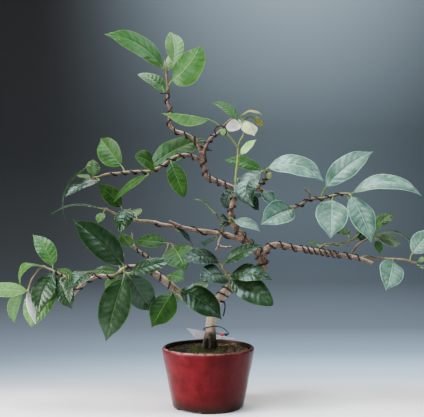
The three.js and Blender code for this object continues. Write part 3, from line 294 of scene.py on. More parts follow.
# %% [markdown]
# Twigs, branches and wires are rods that bend. A route is a list of places with a radius each, smoothed by
# a centripetal Catmull-Rom curve, which passes through every place without loops. Blender's Bezier function
# gives the points between two places. A rod is then a poly curve with a round bevel, made into a mesh.

# %% Routes and rods
BODY = "root"
SPAN_STEPS = 8


def smooth_route(rows, per_span):
    places = [row[0] for row in rows]
    sizes = [row[1] for row in rows]
    before = 2 * places[0] - places[1]
    after = 2 * places[-1] - places[-2]
    line = [before] + places + [after]
    route = []
    for span in range(len(places) - 1):
        p0, p1, p2, p3 = line[span : span + 4]
        d0, d1, d2 = (max((b - a).length, 1e-6) ** 0.5 for a, b in ((p0, p1), (p1, p2), (p2, p3)))
        out = ((p1 - p0) / d0 - (p2 - p0) / (d0 + d1) + (p2 - p1) / d1) * d1
        into = ((p2 - p1) / d1 - (p3 - p1) / (d1 + d2) + (p3 - p2) / d2) * d1
        points = geometry.interpolate_bezier(p1, p1 + out / 3, p2 - into / 3, p2, per_span + 1)
        for step, point in enumerate(points[:-1]):
            share = step / per_span
            route.append((point, sizes[span] * (1 - share) + sizes[span + 1] * share))
    return route + [(places[-1], sizes[-1])]


def limb_route(rows, per_span=SPAN_STEPS):
    return smooth_route([(seen(row), row[3] * MM) for row in rows], per_span)


def add_rods(shape, routes, sides, look=0):
    curve = bpy.data.curves.new("rods", "CURVE")
    curve.dimensions = "3D"
    curve.bevel_depth = 1.0
    curve.bevel_resolution = sides // 4 - 1
    curve.use_fill_caps = True
    for route in routes:
        line = curve.splines.new("POLY")
        line.points.add(len(route) - 1)
        for point, (place, radius) in zip(line.points, route):
            point.co = (*place, 1)
            point.radius = radius
    holder = bpy.data.objects.new("rods", curve)
    mesh = bpy.data.meshes.new_from_object(holder)
    first = len(shape.faces)
    shape.from_mesh(mesh)
    shape.faces.ensure_lookup_table()
    for face in shape.faces[first:]:
        face.material_index = look
        face.smooth = len(face.verts) == 4
    bpy.data.objects.remove(holder)
    bpy.data.curves.remove(curve)
    bpy.data.meshes.remove(mesh)


def finished(name, shape, finishes, nodes):
    mesh = bpy.data.meshes.new(name)
    shape.to_mesh(mesh)
    shape.free()
    for finish in finishes:
        mesh.materials.append(finish)
    piece = bpy.data.objects.new(name, mesh)
    bpy.context.scene.collection.objects.link(piece)
    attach(piece, BODY)
    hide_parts(*nodes)
    triangles = sum(len(face.vertices) - 2 for face in mesh.polygons)
    print(name, triangles, "triangles")
    return piece


# %% [markdown]
# The pot is thrown stoneware with a crimson glaze. On the wheel it is a turned shape, so here its profile is
# spun about the axis. The foot ring has three low, wide cut-outs, which lift the ring's lowest edge. The
# wall keeps faint throwing rings, and the glaze lies a little unevenly.

# %% The pot
POT_STEPS = 180
POT_HEIGHT = 65.5
POT_PROFILE = [
    (7, 3), (20, 3), (32.6, 3), (33, 2.4), (33.3, 0.5), (33.8, 0), (35.5, 0), (37.2, 0), (38, 0.3),
    (38.8, 1.1), (39.3, 2.6), (39.6, 4.5), (40.8, 10), (41.9, 15.5), (43, 21), (44, 26), (45, 32),
    (46.1, 38), (47.4, 44), (48.7, 51), (49.5, 56), (50.1, 59.5), (50.4, 62), (50.4, 63.5), (50, 64.7),
    (49.2, 65.4), (48.3, 65.5), (47.4, 65.2), (46.8, 64.5), (46.4, 63), (45.4, 59.5), (44.1, 50), (42.8, 40),
    (41.4, 30), (40, 20), (39, 12.5), (38, 10.5), (35, 8.5), (20, 8.5), (7, 8.5),
]
RING_INSIDE = 33.2
CUT_MIDDLES = [-124, -4, 116]
CUT_HALF = 22.5
CUT_HEIGHT = 2.2
WALL_RADIUS = 39.6
WALL_START = 5
THROWING_RINGS = 0.1
THROWING_RATE = 1.9
UNEVEN_GLAZE = 0.14
UNEVEN_RATE = 90


def spun_profile(profile, steps):
    shape = bmesh.new()
    corners = [shape.verts.new((radius * MM, 0, height * MM)) for radius, height in profile]
    edges = [shape.edges.new(pair) for pair in zip(corners, corners[1:])]
    turn = dict(cent=(0, 0, 0), axis=(0, 0, 1), angle=math.tau, steps=steps, use_merge=True)
    bmesh.ops.spin(shape, geom=corners + edges, **turn)
    bmesh.ops.remove_doubles(shape, verts=shape.verts[:], dist=1e-6)
    for face in shape.faces:
        face.smooth = True
    return shape


def pot_shape():
    shape = spun_profile(POT_PROFILE + POT_PROFILE[:1], POT_STEPS)
    for corner in shape.verts:
        radius = math.hypot(corner.co.x, corner.co.y) / MM
        height = corner.co.z / MM
        angle = math.degrees(math.atan2(corner.co.y, corner.co.x))
        off = [abs((angle - middle + 180) % 360 - 180) for middle in CUT_MIDDLES]
        if radius > RING_INSIDE and height < CUT_HEIGHT and min(off) < CUT_HALF:
            corner.co.z = CUT_HEIGHT * MM
        if radius > WALL_RADIUS and height > WALL_START:
            push = THROWING_RINGS * math.sin(height * THROWING_RATE)
            push += UNEVEN_GLAZE * noise.noise(corner.co * UNEVEN_RATE)
            corner.co += Vector((corner.co.x, corner.co.y, 0)).normalized() * push * MM
    bmesh.ops.recalc_face_normals(shape, faces=shape.faces[:])
    return shape


# %% [markdown]
# Oxblood glaze is a glassy coat, red from copper. It runs thin over the rim, where the pinkish clay shows
# through, and this pale rim is also a painted highlight, strongest at the left. The glaze grows darker
# toward the foot. The right side is painted a darker, browner red as painted shade, and the inside is olive
# brown painted near black as painted shade. Fine brown specks and soft streaks break up the red. The glass
# gives it a
# low roughness and a clear coat, both dulled by lime and age. A place is inside where it lies nearer to the
# axis than the middle of the wall, which leans out by 0.14 mm for each millimetre of height.

# %% The glaze
GLASS = {"Roughness": 0.26, "IOR": 1.2, "Coat Weight": 0.02, "Coat Roughness": 0.06}
GLASS["Specular Tint"] = "ff9aa8"
STREAK_WIDTH = 5
STREAK_SQUEEZE = 0.22
WALL_LEAN = 0.14
WALL_MIDDLE = 39.6
REDS = [(0.3, "460e12"), (0.5, "551317"), (0.7, "60191e")]
DARK_FOOT = [(0.0, "ffffff"), (0.09, "d8d8d8"), (0.2, "787878"), (0.42, "000000")]
THIN_EDGE = [(0.95, "000000"), (0.975, "606060"), (0.99, "ffffff")]


def glaze_inside(tree, where, height):
    flat = add_node(tree, "VectorMath", PRODUCT, [where, (1, 1, 0)])
    reach = add_node(tree, "VectorMath", {"operation": "LENGTH"}, [flat])
    wall = add_node(tree, "Math", TIMES_PLUS, [height, WALL_LEAN, WALL_MIDDLE * MM])
    return add_node(tree, "MapRange", (), [add_node(tree, "Math", LESS, [wall, reach]), 0.0, 1.2 * MM])


def crimson_glaze():
    made, tree, shader = new_finish("oxblood glaze", GLASS)
    where = add_node(tree, "TexCoord", output="Object")
    x, _, z = add_node(tree, "SeparateXYZ", (), [where]).node.outputs
    uneven = spots(tree, 14, 4.0)
    stretched = add_node(tree, "Mapping", {"Scale": (1, 1, STREAK_SQUEEZE)}, [where])
    streaks = add_node(tree, "TexNoise", {"Scale": 1 / (STREAK_WIDTH * MM), "Detail": 3.0}, [stretched])
    red = add_node(tree, "ValToRGB", {"stops": REDS}, [uneven])
    streaked = add_node(tree, "ValToRGB", black_to_white(0.55, 0.95), [streaks])
    specks = add_node(tree, "ValToRGB", black_to_white(0.66, 0.72), [spots(tree, 1.1, 2.0)])
    # Painted shade: the right side of the glaze is mixed toward a dark brown red.
    painted_shade = add_node(tree, "MapRange", SOFT, [x, -20 * MM, 25 * MM, 0.0, 0.5])
    height = add_node(tree, "MapRange", (), [z, 0.0, POT_HEIGHT * MM])
    level = add_node(tree, "Math", SUM, [height, add_node(tree, "Math", TIMES_PLUS, [uneven, 0.05, -0.02])])
    dark = add_node(tree, "ValToRGB", {"stops": DARK_FOOT}, [level])
    edge = add_node(tree, "ValToRGB", {"stops": THIN_EDGE}, [level])
    # Painted highlight: the thin pale rim is strongest at the left, where the light falls.
    painted_highlight_left = add_node(tree, "MapRange", (), [x, 30 * MM, -30 * MM, 0.25])
    rubbed = add_node(tree, "Math", PRODUCT, [edge, painted_highlight_left])
    clay = add_node(tree, "ValToRGB", {"stops": [(0.35, "5a2a28"), (0.65, "9a756c")]}, [spots(tree, 6, 4.0)])
    # Painted shade: the inside is darkened to a near-black brown.
    olive = add_node(tree, "ValToRGB", {"stops": [(0.35, "1c1510"), (0.65, "332a1c")]}, [uneven])
    inside = glaze_inside(tree, where, z)
    red = layered(tree, red, (streaked, "3e090c"), (specks, "3c1012"), (painted_shade, "2a100f"))
    red = layered(tree, red, (dark, "1c120c"), (rubbed, clay), (inside, olive))
    set_surface(tree, shader, red, streaks, 0.06)
    return made


pot = finished("glazed_pot", pot_shape(), [crimson_glaze()], ["pot"])
print("pot, mm:", [round(side / MM, 1) for side in pot.dimensions])

# %% [markdown]
# The soil is a dark, crumbly mix a few millimetres below the rim. Its body is spun, and its top is crumbled
# by noise at two sizes, whose rates are per metre.

# %% The soil
SOIL_EDGE = 45.1
SOIL_TOP = 61
SOIL_MOUND = 2.5
SOIL_STEPS = 150
SOIL_RINGS = 44
SOIL_FLOOR = [(0.01, 9.9), (15.1, 9.9), (15.1, 8.8), (34.7, 8.8), (38.7, 12.8), (42, 33)]
LUMPS = 0.7
LUMP_RATE = 130
FINE_LUMPS = 0.45
FINE_RATE = 420


def soil_height(x, y):
    place = Vector((x, y, 0)) * MM
    share = min(math.hypot(x, y) / SOIL_EDGE, 1)
    lumps = LUMPS * noise.noise(place * LUMP_RATE) + FINE_LUMPS * noise.noise(place * FINE_RATE)
    return SOIL_TOP + SOIL_MOUND * (1 - share**2) + lumps * (1 - share**8)


def soil_shape():
    top = [(SOIL_EDGE * (1 - ring / SOIL_RINGS) + 0.01, SOIL_TOP) for ring in range(SOIL_RINGS + 1)]
    shape = spun_profile(SOIL_FLOOR + top, SOIL_STEPS)
    for corner in shape.verts:
        if corner.co.z > (SOIL_TOP - 0.1) * MM:
            corner.co.z = soil_height(corner.co.x / MM, corner.co.y / MM) * MM
    bmesh.ops.holes_fill(shape, edges=[edge for edge in shape.edges if edge.is_boundary])
    bmesh.ops.recalc_face_normals(shape, faces=shape.faces[:])
    return shape


soil = soil_shape()
print("soil:", len(soil.faces), "faces")

# %% [markdown]
# Loose crumbs, yellowish grains, most at the right, and a cushion of moss at the left and in the middle lie
# on the soil. They are strewn by a seeded chance, clear of the pot's wall, and the crumbs and the grains of
# the trunk too. They are many, so each has only a few faces: a crumb or a grain is an icosphere, turned and
# squashed, and a moss leaf is a thin cone.

# %% What lies on the soil
WALL_CLEARANCE = 1.2
TRUNK_FOOT = 6
TRUNK_PLACE = 2
CRUMBS = 800
GRAINS = 620
MOSS_LEAVES = 1500
MOSS_RADIUS = 0.34
MOSS_TIP = 0.03
MOSS_ACROSS = (-44, 30)
MOSS_AWAY = (-44, 25)


def moss_share(x, y):
    place = Vector((x, y, 7)) * MM
    cushion = 0.6 - math.hypot((x + 8) / 40, (y + 12) / 32)
    return cushion + noise.noise(place * 90)


def bare_soil(x, y, chance):
    return chance.random() > moss_share(x, y)


def toward_right(x, y, chance):
    return chance.random() < 0.35 + 0.015 * (x + 10)


def joined_in(shape, extra, look):
    for face in extra.faces:
        face.material_index = look
    mesh = bpy.data.meshes.new("extra")
    extra.to_mesh(mesh)
    extra.free()
    shape.from_mesh(mesh)
    bpy.data.meshes.remove(mesh)


def scattered(shape, count, size, look, wanted, seed):
    chance = random.Random(seed)
    placed = 0
    grain = bmesh.new()
    while placed < count:
        angle = chance.uniform(0, math.tau)
        reach = (SOIL_EDGE - WALL_CLEARANCE) * math.sqrt(chance.random())
        x, y = reach * math.cos(angle), reach * math.sin(angle)
        if not wanted(x, y, chance) or math.hypot(x - TRUNK_PLACE, y) < TRUNK_FOOT:
            continue
        radius = chance.uniform(*size) * MM
        spin = Matrix.Rotation(chance.uniform(0, math.tau), 4, Vector((chance.random(), chance.random(), 1)))
        squash = Matrix.Diagonal((1, chance.uniform(0.6, 1), chance.uniform(0.5, 0.9), 1))
        place = Matrix.Translation(Vector((x, y, soil_height(x, y) + 0.25 * radius / MM)) * MM)
        bmesh.ops.create_icosphere(grain, subdivisions=1, radius=radius, matrix=place @ spin @ squash)
        placed += 1
    joined_in(shape, grain, look)


def moss_leaves(shape, look, seed):
    chance = random.Random(seed)
    tuft = bmesh.new()
    placed = 0
    while placed < MOSS_LEAVES:
        x, y = chance.uniform(*MOSS_ACROSS), chance.uniform(*MOSS_AWAY)
        if math.hypot(x, y) > SOIL_EDGE - 1 or chance.random() > 1.6 * moss_share(x, y):
            continue
        lean = Vector((chance.uniform(-0.7, 0.7), chance.uniform(-0.7, 0.7), 1)).normalized()
        long = chance.uniform(1.2, 2.4) * MM
        foot = Vector((x, y, soil_height(x, y) + 0.35 * moss_share(x, y))) * MM
        turn = lean.to_track_quat("Z", "Y").to_matrix().to_4x4()
        stand = Matrix.Translation(foot + lean * long / 2) @ turn
        cone = dict(cap_ends=True, segments=3, radius1=MOSS_RADIUS * MM, radius2=MOSS_TIP * MM, depth=long)
        bmesh.ops.create_cone(tuft, matrix=stand, **cone)
        placed += 1
    joined_in(shape, tuft, look)


scattered(soil, CRUMBS, (0.5, 1.3), 0, bare_soil, 1)
scattered(soil, GRAINS, (0.6, 1.1), 1, toward_right, 2)
moss_leaves(soil, 2, 4)
print("soil with all that lies on it:", len(soil.faces), "faces")

# %% [markdown]
# Potting soil is matt, near black where it is damp and brown where it has dried. Moss is a soft yellow green
# that changes within a few millimetres. The grains are pumice or akadama clay: pale, porous and dull.

# %% Finishes of the soil, the grains and the moss
SOIL_BROWNS = [(0.3, "16120d"), (0.55, "2a2219"), (0.75, "4a3c2a")]
CLAY_YELLOWS = [(0.3, "4a3f28"), (0.55, "75683f"), (0.75, "9c8f62")]
MOSS_GREENS = [(0.3, "28321a"), (0.5, "49562a"), (0.7, "6f7a44")]


def rough_finish(name, stops, size, depth):
    made, tree, shader = new_finish(name, {"Roughness": 0.95, "IOR": 1.45})
    colour = add_node(tree, "ValToRGB", {"stops": stops}, [spots(tree, size, 5.0, 0.7)])
    set_surface(tree, shader, colour, spots(tree, size / 5), depth)
    return made


damp_soil = rough_finish("damp potting soil", SOIL_BROWNS, 3, 0.4)
clay_grains = rough_finish("baked clay grains", CLAY_YELLOWS, 5, 0.2)
green_moss = rough_finish("moss", MOSS_GREENS, 4, 0.1)
finished("crumbly_soil", soil, [damp_soil, clay_grains, green_moss], ["soil"])

# %% [markdown]
# The wood is one grown piece. The trunk rises from the pot, leans right, knots at a fork and winds up and
# left. Each limb is a row of places with its radius: across, up, depth, radius.

# %% The limbs
LIMBS = {
    "trunk": [
        (1.5, 43, 0, 7.2), (1.8, 61, 0, 7.2), (2.6, 71, 0, 6.2), (3.1, 88.5, 0, 5.8), (5.3, 104, 0, 5.9),
        (11.4, 116, 0, 5.4), (20.7, 127, 2, 5.2), (30.6, 134, 3, 5), (42.7, 138.6, 4, 4.8),
        (53.2, 144.6, 6, 4.9), (59.8, 153.4, 6, 5.3), (58.1, 164, 6, 5.8), (50.4, 173.2, 6, 4.7),
        (41.6, 182, 5, 4.2), (34.5, 190.3, 4, 3.7), (28.4, 198.5, 2, 3.4), (25.4, 207.3, 0, 3.2),
        (25.7, 216, -1, 3), (27.3, 224, -1, 3), (31.2, 231.5, -1, 3.2), (29.5, 238, -2, 3),
        (22.9, 241.4, -3, 3), (13, 245.3, -4, 3), (4.2, 249, -4, 2.9), (-2.1, 253.5, -4, 2.8),
        (-3.7, 260, -4, 2.7), (-5.2, 267.8, -4, 2.8), (-5.9, 276.6, -4, 2.6),
    ],
    "leader": [
        (-5.9, 275, -4, 2.5), (-12.3, 289.8, -4, 2.4), (-20, 295.9, -3, 2.3), (-28.8, 299.7, -2, 2.3),
        (-36.5, 302.5, -1, 2.2), (-42, 308.5, 0, 2.1), (-42.8, 316.2, 0, 2), (-41.1, 324, 0, 2),
        (-44.6, 333.8, 0, 1.9), (-44.2, 341.5, 0, 1.8),
    ],
    "crown": [
        (-5.7, 275.5, -4, 2.4), (-1.3, 287.6, -6, 2.2), (4.2, 294.8, -7, 2.1), (10.3, 299.2, -8, 2),
        (14.7, 303.6, -8, 1.9),
    ],
    "upper_left": [
        (-6.3, 266.7, -4, 2.5), (-12.3, 272.2, -5, 2.4), (-20, 275, -6, 2.3), (-27.7, 275.5, -7, 2.2),
        (-36.5, 273.3, -8, 2.2), (-43.1, 269, -8, 2.1), (-49.7, 264, -8, 2),
    ],
    "middle_left": [
        (41.6, 182, 5, 3.2), (32.8, 184, 6, 3), (18.5, 188.6, 7, 2.9), (4.2, 190.8, 9, 2.7),
        (-11.2, 192.5, 11, 2.6), (-24.4, 195.2, 13, 2.4), (-37.6, 197.7, 15, 2.3), (-49.7, 199, 17, 2.2),
        (-60.7, 202.4, 19, 2.1),
    ],
    "lower_left": [
        (5.2, 104, 0, 4), (-5.8, 108.3, -5, 3.8), (-20.1, 116, -12, 3.7), (-33.3, 126, -17, 3.6),
        (-45.3, 135.8, -20, 4.1), (-56.3, 144, -22, 3.6), (-68.4, 152.3, -24, 2.8), (-79.4, 153, -26, 2.5),
        (-90.4, 151.8, -28, 2.5), (-99.2, 145.7, -29, 2.3), (-108, 142.4, -30, 2.3),
        (-121.2, 142.7, -31, 2.2), (-131, 138.6, -32, 2.1), (-141, 131, -33, 2), (-148.7, 122, -33, 1.8),
    ],
    "right": [
        (57.6, 161, 6, 4.2), (64.2, 172, 4, 3.7), (71.3, 176.5, 2, 3.3), (80, 176.5, 0, 3.2),
        (91, 174.3, -3, 3.1), (106.5, 172, -7, 3), (118.6, 170.2, -10, 2.9), (131.8, 167.7, -12, 2.8),
        (145, 165.8, -14, 2.6), (157, 164.4, -16, 2.4), (170.3, 160.6, -18, 2.1), (181, 156.2, -19, 2.2),
    ],
    "upper_right": [
        (31.2, 231, -1, 2.6), (41.6, 237, 1, 2.5), (52.6, 238.7, 3, 2.6), (59.2, 236.5, 5, 2.3),
        (65.8, 231, 7, 2.1), (79, 222.2, 9, 1.9), (87.8, 219, 10, 1.8),
    ],
    "pale_stub": [(-24.4, 194, 12, 1.9), (-33.2, 198.5, 8, 1.8), (-43, 203, 5, 1.6)],
    "dead_twig": [
        (16.3, 188.6, 6, 1.6), (11.9, 181, 3, 1.5), (12.5, 176, 1, 1.4), (18.5, 174.3, 0, 1.3),
        (26, 175, -1, 1.2),
    ],
    "dead_twig_stub": [(11.9, 177.6, 1, 1.2), (8.2, 170.3, -1, 1)],
    "left_root": [(-1, 80, -2, 2.3), (-3.1, 71, -4, 2.7), (-4.7, 63, -5, 3), (-6.4, 52, -6, 2.6)],
    "right_root": [(6.4, 69, 3, 2.8), (10.8, 60.5, 6, 2.5), (13.5, 52, 8, 2)],
}
print(len(LIMBS), "limbs")

# %% [markdown]
# The limbs could be tubes stuck into each other, but their forks would show sharp creases. Here the rods of
# all limbs are made first, and a voxel remesh melts them into one skin, as growth does at a fork. The skin
# is smoothed and then pushed in and out by noise: slow swellings, and ridges drawn out along Z. The old
# trunk, whose place is in metres, is rougher than the younger wood.

# %% The wood
WOOD_VOXEL = 0.6
SMOOTH_PASSES = 4
LIMB_SIDES = 16
OLD_TOP = 0.2
OLD_MIDDLE = 0.03
OLD_HALF = 0.05
YOUNG_ROUGHNESS = 0.55
SWELLINGS = 0.5
SWELLING_RATE = 110
RIDGES = 0.28
RIDGE_RATES = (500, 500, 140)


def melted(shape, voxel):
    mesh = bpy.data.meshes.new("skin")
    shape.to_mesh(mesh)
    shape.free()
    holder = bpy.data.objects.new("skin", mesh)
    bpy.context.scene.collection.objects.link(holder)
    remesh = holder.modifiers.new("skin", "REMESH")
    remesh.mode = "VOXEL"
    remesh.voxel_size = voxel * MM
    smooth = holder.modifiers.new("soft", "SMOOTH")
    smooth.factor = 0.5
    smooth.iterations = SMOOTH_PASSES
    skin = holder.evaluated_get(bpy.context.evaluated_depsgraph_get()).to_mesh()
    made = bmesh.new()
    made.from_mesh(skin)
    bpy.data.objects.remove(holder)
    bpy.data.meshes.remove(mesh)
    return made


def grown_wood():
    shape = bmesh.new()
    add_rods(shape, [limb_route(rows) for rows in LIMBS.values()], LIMB_SIDES)
    skin = melted(shape, WOOD_VOXEL)
    skin.normal_update()
    for corner in skin.verts:
        place = corner.co
        old = place.z < OLD_TOP and abs(place.x - OLD_MIDDLE) < OLD_HALF
        drawn_out = Vector([value * rate for value, rate in zip(place, RIDGE_RATES)])
        push = SWELLINGS * noise.noise(place * SWELLING_RATE) + RIDGES * noise.noise(drawn_out)
        corner.co = place + corner.normal * push * (1.0 if old else YOUNG_ROUGHNESS) * MM
    for face in skin.faces:
        face.smooth = True
    return skin


# %% [markdown]
# Old camellia bark is thin and smooth, reddish brown under a pale, chalky skin. Where the wood faces up it
# is painted pale as painted light, and where it faces down it is painted dark as painted shade. The lowest
# trunk is paler too. Near the soil it is damp, dark and mossy.
# Patches of two sizes break up the colour, and small dark pores dot it. Twigs have the same bark in younger
# colours. Heights are in metres.

# %% The bark
BARK_BROWNS = [(0.25, "291c14"), (0.42, "4c3728"), (0.58, "705846"), (0.75, "927c66")]
TWIG_BROWNS = [(0.25, "36301f"), (0.45, "544a30"), (0.6, "6c6140"), (0.75, "84774f")]
SHOOT_GREENS = [(0.25, "55612c"), (0.45, "6d7a3a"), (0.6, "84924c"), (0.75, "9aa662")]
FOOT_MOSS = [(0.35, "1f1912"), (0.55, "3a3320"), (0.7, "55502c")]
PALE_LOW_FROM = 0.15
PALE_LOW_FULL = 0.1
DAMP_FROM = 0.088
DAMP_FULL = 0.076


def smooth_bark(name, stops, pale_and_painted_light, pale_share):
    made, tree, shader = new_finish(name, {"Roughness": 0.72, "IOR": 1.45})
    where = add_node(tree, "TexCoord", output="Object")
    height = add_node(tree, "SeparateXYZ", (), [where], "Z")
    upward = add_node(tree, "SeparateXYZ", (), [add_node(tree, "NewGeometry", output="Normal")], "Z")
    patches = spots(tree, 7, 5.0, 0.62)
    flecks = spots(tree, 1.6, 3.0, 0.6)
    darkest = stops[0][1]
    brown = add_node(tree, "ValToRGB", {"stops": stops}, [patches])
    pale = add_node(tree, "ValToRGB", black_to_white(pale_share, pale_share + 0.12), [flecks])
    pores = add_node(tree, "ValToRGB", black_to_white(0.7, 0.76), [spots(tree, 0.7, 1.0)])
    # Painted light: wood that faces up is mixed toward the pale colour. Painted shade: wood that faces down
    # is mixed toward the darkest brown.
    painted_light_on_top = add_node(tree, "MapRange", (), [upward, 0.3, 0.95, 0.0, 0.8])
    painted_shade_below = add_node(tree, "MapRange", (), [upward, 0.15, -0.7, 0.0, 0.75])
    wobble = add_node(tree, "Math", TIMES_PLUS, [patches, 0.03, -0.015])
    level = add_node(tree, "Math", SUM, [height, wobble])
    low = add_node(tree, "MapRange", (), [level, PALE_LOW_FROM, PALE_LOW_FULL, 0.0, 0.6])
    damp = add_node(tree, "MapRange", (), [level, DAMP_FROM, DAMP_FULL])
    moss = add_node(tree, "ValToRGB", {"stops": FOOT_MOSS}, [flecks])
    brown = layered(tree, brown, (pale, "b8a084"), (pores, "3a281d"), (painted_light_on_top, pale_and_painted_light), (painted_shade_below, darkest))
    set_surface(tree, shader, layered(tree, brown, (low, pale_and_painted_light), (damp, moss)), flecks, 0.35)
    return made


# each bark's pale colour is its painted light on top and the paler lowest trunk
bark = smooth_bark("camellia bark", BARK_BROWNS, "cfbea6", 0.54)
twig_bark = smooth_bark("young twig bark", TWIG_BROWNS, "a2946e", 0.62)
green_wood = smooth_bark("this year's green shoot", SHOOT_GREENS, "a8b46e", 0.72)
finished("grown_wood", grown_wood(), [bark], ["wood"])

# %% [markdown]
# A camellia leaf is thick, leathery and glossy above, paler and matt below, with a pale rib, faint side
# veins that bend forward, and a finely toothed margin. One finish is made for each tone of leaf on the
# plant, for its upper and its under side. The veins follow the leaf, so they come from its UV map: U runs
# along the rib and V across. A wave of eight bands on each half gives the veins, and a slow noise varies the
# green. A pale grey-green painted between the veins, in bands along each half, is painted sheen: a painted
# reflection of the lamps. The greens of the sheen tone hold painted sheen too. A tone gives its darker
# green, its lighter green and the colour of its rib and veins, then its roughness, how much painted sheen
# lies between the veins and how strongly it shines.

# %% Leaf finishes
VEINS_A_HALF = 8
PAINTED_SHEEN_COLOUR = "92a998"
SHINE_TINT = "d6ffee"
PALER_GREEN = "728462"
PALER_SHARE = 0.3
UNDER_ROUGHNESS = 0.55
UNDER_SHINE = 0.15
UPPER_VEINS = 0.1
UNDER_VEINS = 0.3
PAINTED_SHEEN_BAND = [(0.02, "000000"), (0.1, "ffffff"), (0.24, "d0d0d0"), (0.42, "000000")]
TONES = {
    "dark": ("0f230d", "1e3918", "364d28", 0.26, 0.12, 0.28),
    "glossy": ("0e1d12", "1b3122", "39553a", 0.25, 0.32, 0.38),
    "sheen": ("2c4e3b", "5a8670", "94bca6", 0.32, 0.85, 0.45),
    "leafy": ("1b3613", "33591e", "507435", 0.4, 0.0, 0.15),
    "drab": ("4a5c3e", "748767", "8e9d7c", 0.42, 0.0, 0.2),
    "green": ("1c3816", "345b25", "5a793d", 0.3, 0.1, 0.25),
    "fresh": ("234e18", "3a6822", "648244", 0.36, 0.12, 0.3),
    "light": ("406a30", "5a8343", "7a9e5a", 0.42, 0.0, 0.2),
    "olive": ("606626", "928e3c", "a4a456", 0.42, 0.0, 0.2),
    "pale": ("65a046", "92c56a", "b2d490", 0.4, 0.0, 0.3),
    "straw": ("98a452", "e4e8b6", "e8ecc4", 0.42, 0.2, 0.3),
    "white": ("d8dcd4", "f2f4ef", "f2f4ef", 0.4, 0.0, 0.5),
}


def veins_and_side(tree):
    along, across, _ = add_node(tree, "SeparateXYZ", (), [add_node(tree, "UVMap")]).node.outputs
    side = add_node(tree, "Math", {"operation": "ABSOLUTE"}, [add_node(tree, "Math", LESS, [across, 0.5])])
    line = add_node(tree, "CombineXYZ", (), [add_node(tree, "Math", TIMES_PLUS, [side, -0.3, along])])
    wave = add_node(tree, "TexWave", {"Scale": VEINS_A_HALF * math.tau / 20}, [line], "Fac")
    return wave, side


# Painted sheen: pale bands beside the rib, broken by spots and lying between the veins, stand for the
# reflection of the lamps on the glossy leaf.
def painted_sheen_between(tree, wave, side, painted_sheen_share):
    painted_sheen_mask = add_node(tree, "ValToRGB", {"stops": PAINTED_SHEEN_BAND}, [side])
    broken = add_node(tree, "ValToRGB", black_to_white(0.38, 0.66), [spots(tree, 15)])
    cushion = add_node(tree, "ValToRGB", {"stops": [(0.35, "ffffff"), (0.9, "a0a0a0")]}, [wave])
    for share in (broken, cushion, painted_sheen_share):
        painted_sheen_mask = add_node(tree, "Math", PRODUCT, [painted_sheen_mask, share])
    return painted_sheen_mask


def leaf_finish(name, low, high, rib_colour, roughness, painted_sheen_share, shine, veins):
    settings = {"Roughness": roughness, "Specular IOR Level": shine, "Specular Tint": SHINE_TINT}
    made, tree, shader = new_finish(name, settings)
    wave, side = veins_and_side(tree)
    green = add_node(tree, "ValToRGB", {"stops": [(0.3, low), (0.7, high)]}, [spots(tree, 9, 4.0, 0.6)])
    shade = add_node(tree, "Attribute", {"attribute_name": "shade"}, output="Fac")
    dim = add_node(tree, "MapRange", {"To Max": 0.35}, [shade])
    green = layered(tree, green, (dim, low), (painted_sheen_between(tree, wave, side, painted_sheen_share), PAINTED_SHEEN_COLOUR))
    line = add_node(tree, "ValToRGB", black_to_white(0.88, 1.0), [wave])
    vein = add_node(tree, "Math", PRODUCT, [line, veins])
    rib = add_node(tree, "MapRange", (), [side, 0.02, 0.006])
    margin = add_node(tree, "MapRange", (), [side, 0.465, 0.49, 0.0, 0.8])
    green = layered(tree, green, (vein, rib_colour), (rib, rib_colour), (margin, rib_colour))
    puffed = add_node(tree, "Math", TIMES_PLUS, [wave, 0.5, spots(tree, 1.5, 2.0)])
    set_surface(tree, shader, green, puffed, 0.3)
    return made


def paler(colour):
    pairs = zip(bytes.fromhex(colour), bytes.fromhex(PALER_GREEN))
    return "".join(f"{round(value + (goal - value) * PALER_SHARE):02x}" for value, goal in pairs)


leaf_looks = {}
for tone, (low, high, rib_colour, *gloss) in TONES.items():
    upper = leaf_finish(f"{tone} leaf, upper side", low, high, rib_colour, *gloss, UPPER_VEINS)
    matt = (UNDER_ROUGHNESS, 0.0, UNDER_SHINE, UNDER_VEINS)
    under = leaf_finish(f"{tone} leaf, under side", paler(low), paler(high), rib_colour, *matt)
    leaf_looks[tone] = (upper, under)
stalk_green = leaf_finish("leaf stalk", "4d6a2c", "6d8a42", "7d9455", 0.45, 0.0, 0.3, 0.0)
bud_green = leaf_finish("bud scales", "66733f", "8c9662", "9aa276", 0.45, 0.0, 0.3, 0.0)
print(2 * len(leaf_looks), "leaf finishes")

# %% [markdown]
# A blade starts as two flat grids, one for each side, whose rims are bridged. The grid's long way becomes
# the rib, an arch from the base to the tip. Its short way becomes the two halves, lifted by the fold. A leaf
# comes as a dictionary of the values that the tables further down give. Its outline is an oval, or a blunter
# one. Both are given by how fast they swell from the stalk, and by how far they are drawn in toward the tip.

# %% One leaf's outline and rib
OVAL = (0.8, 0.5)
BLUNT = (0.6, 0.1)


def eased(share):
    return share - 0.7 * math.sin(math.tau * share) / math.tau


def smoothstep(value, low, high):
    share = min(max((value - low) / (high - low), 0), 1)
    return share * share * (3 - 2 * share)


def half_width(along, blunt):
    oval = math.sin(math.pi * along**0.85) if along < 1 else 0
    swell, drawn = BLUNT if blunt else OVAL
    return max(oval, 0) ** swell * (1 - drawn * smoothstep(along, 0.75, 1))


def rib_of(leaf):
    base, tip = seen(leaf["base"]), seen(leaf["tip"])
    way = (tip - base).normalized()
    face = Vector(leaf["face"])
    face = (face - face.dot(way) * way).normalized()
    bend = (base + tip) / 2 + (face * leaf["arch"] + way.cross(face) * leaf["sway"]) * 2 * MM
    return base, bend, tip, face


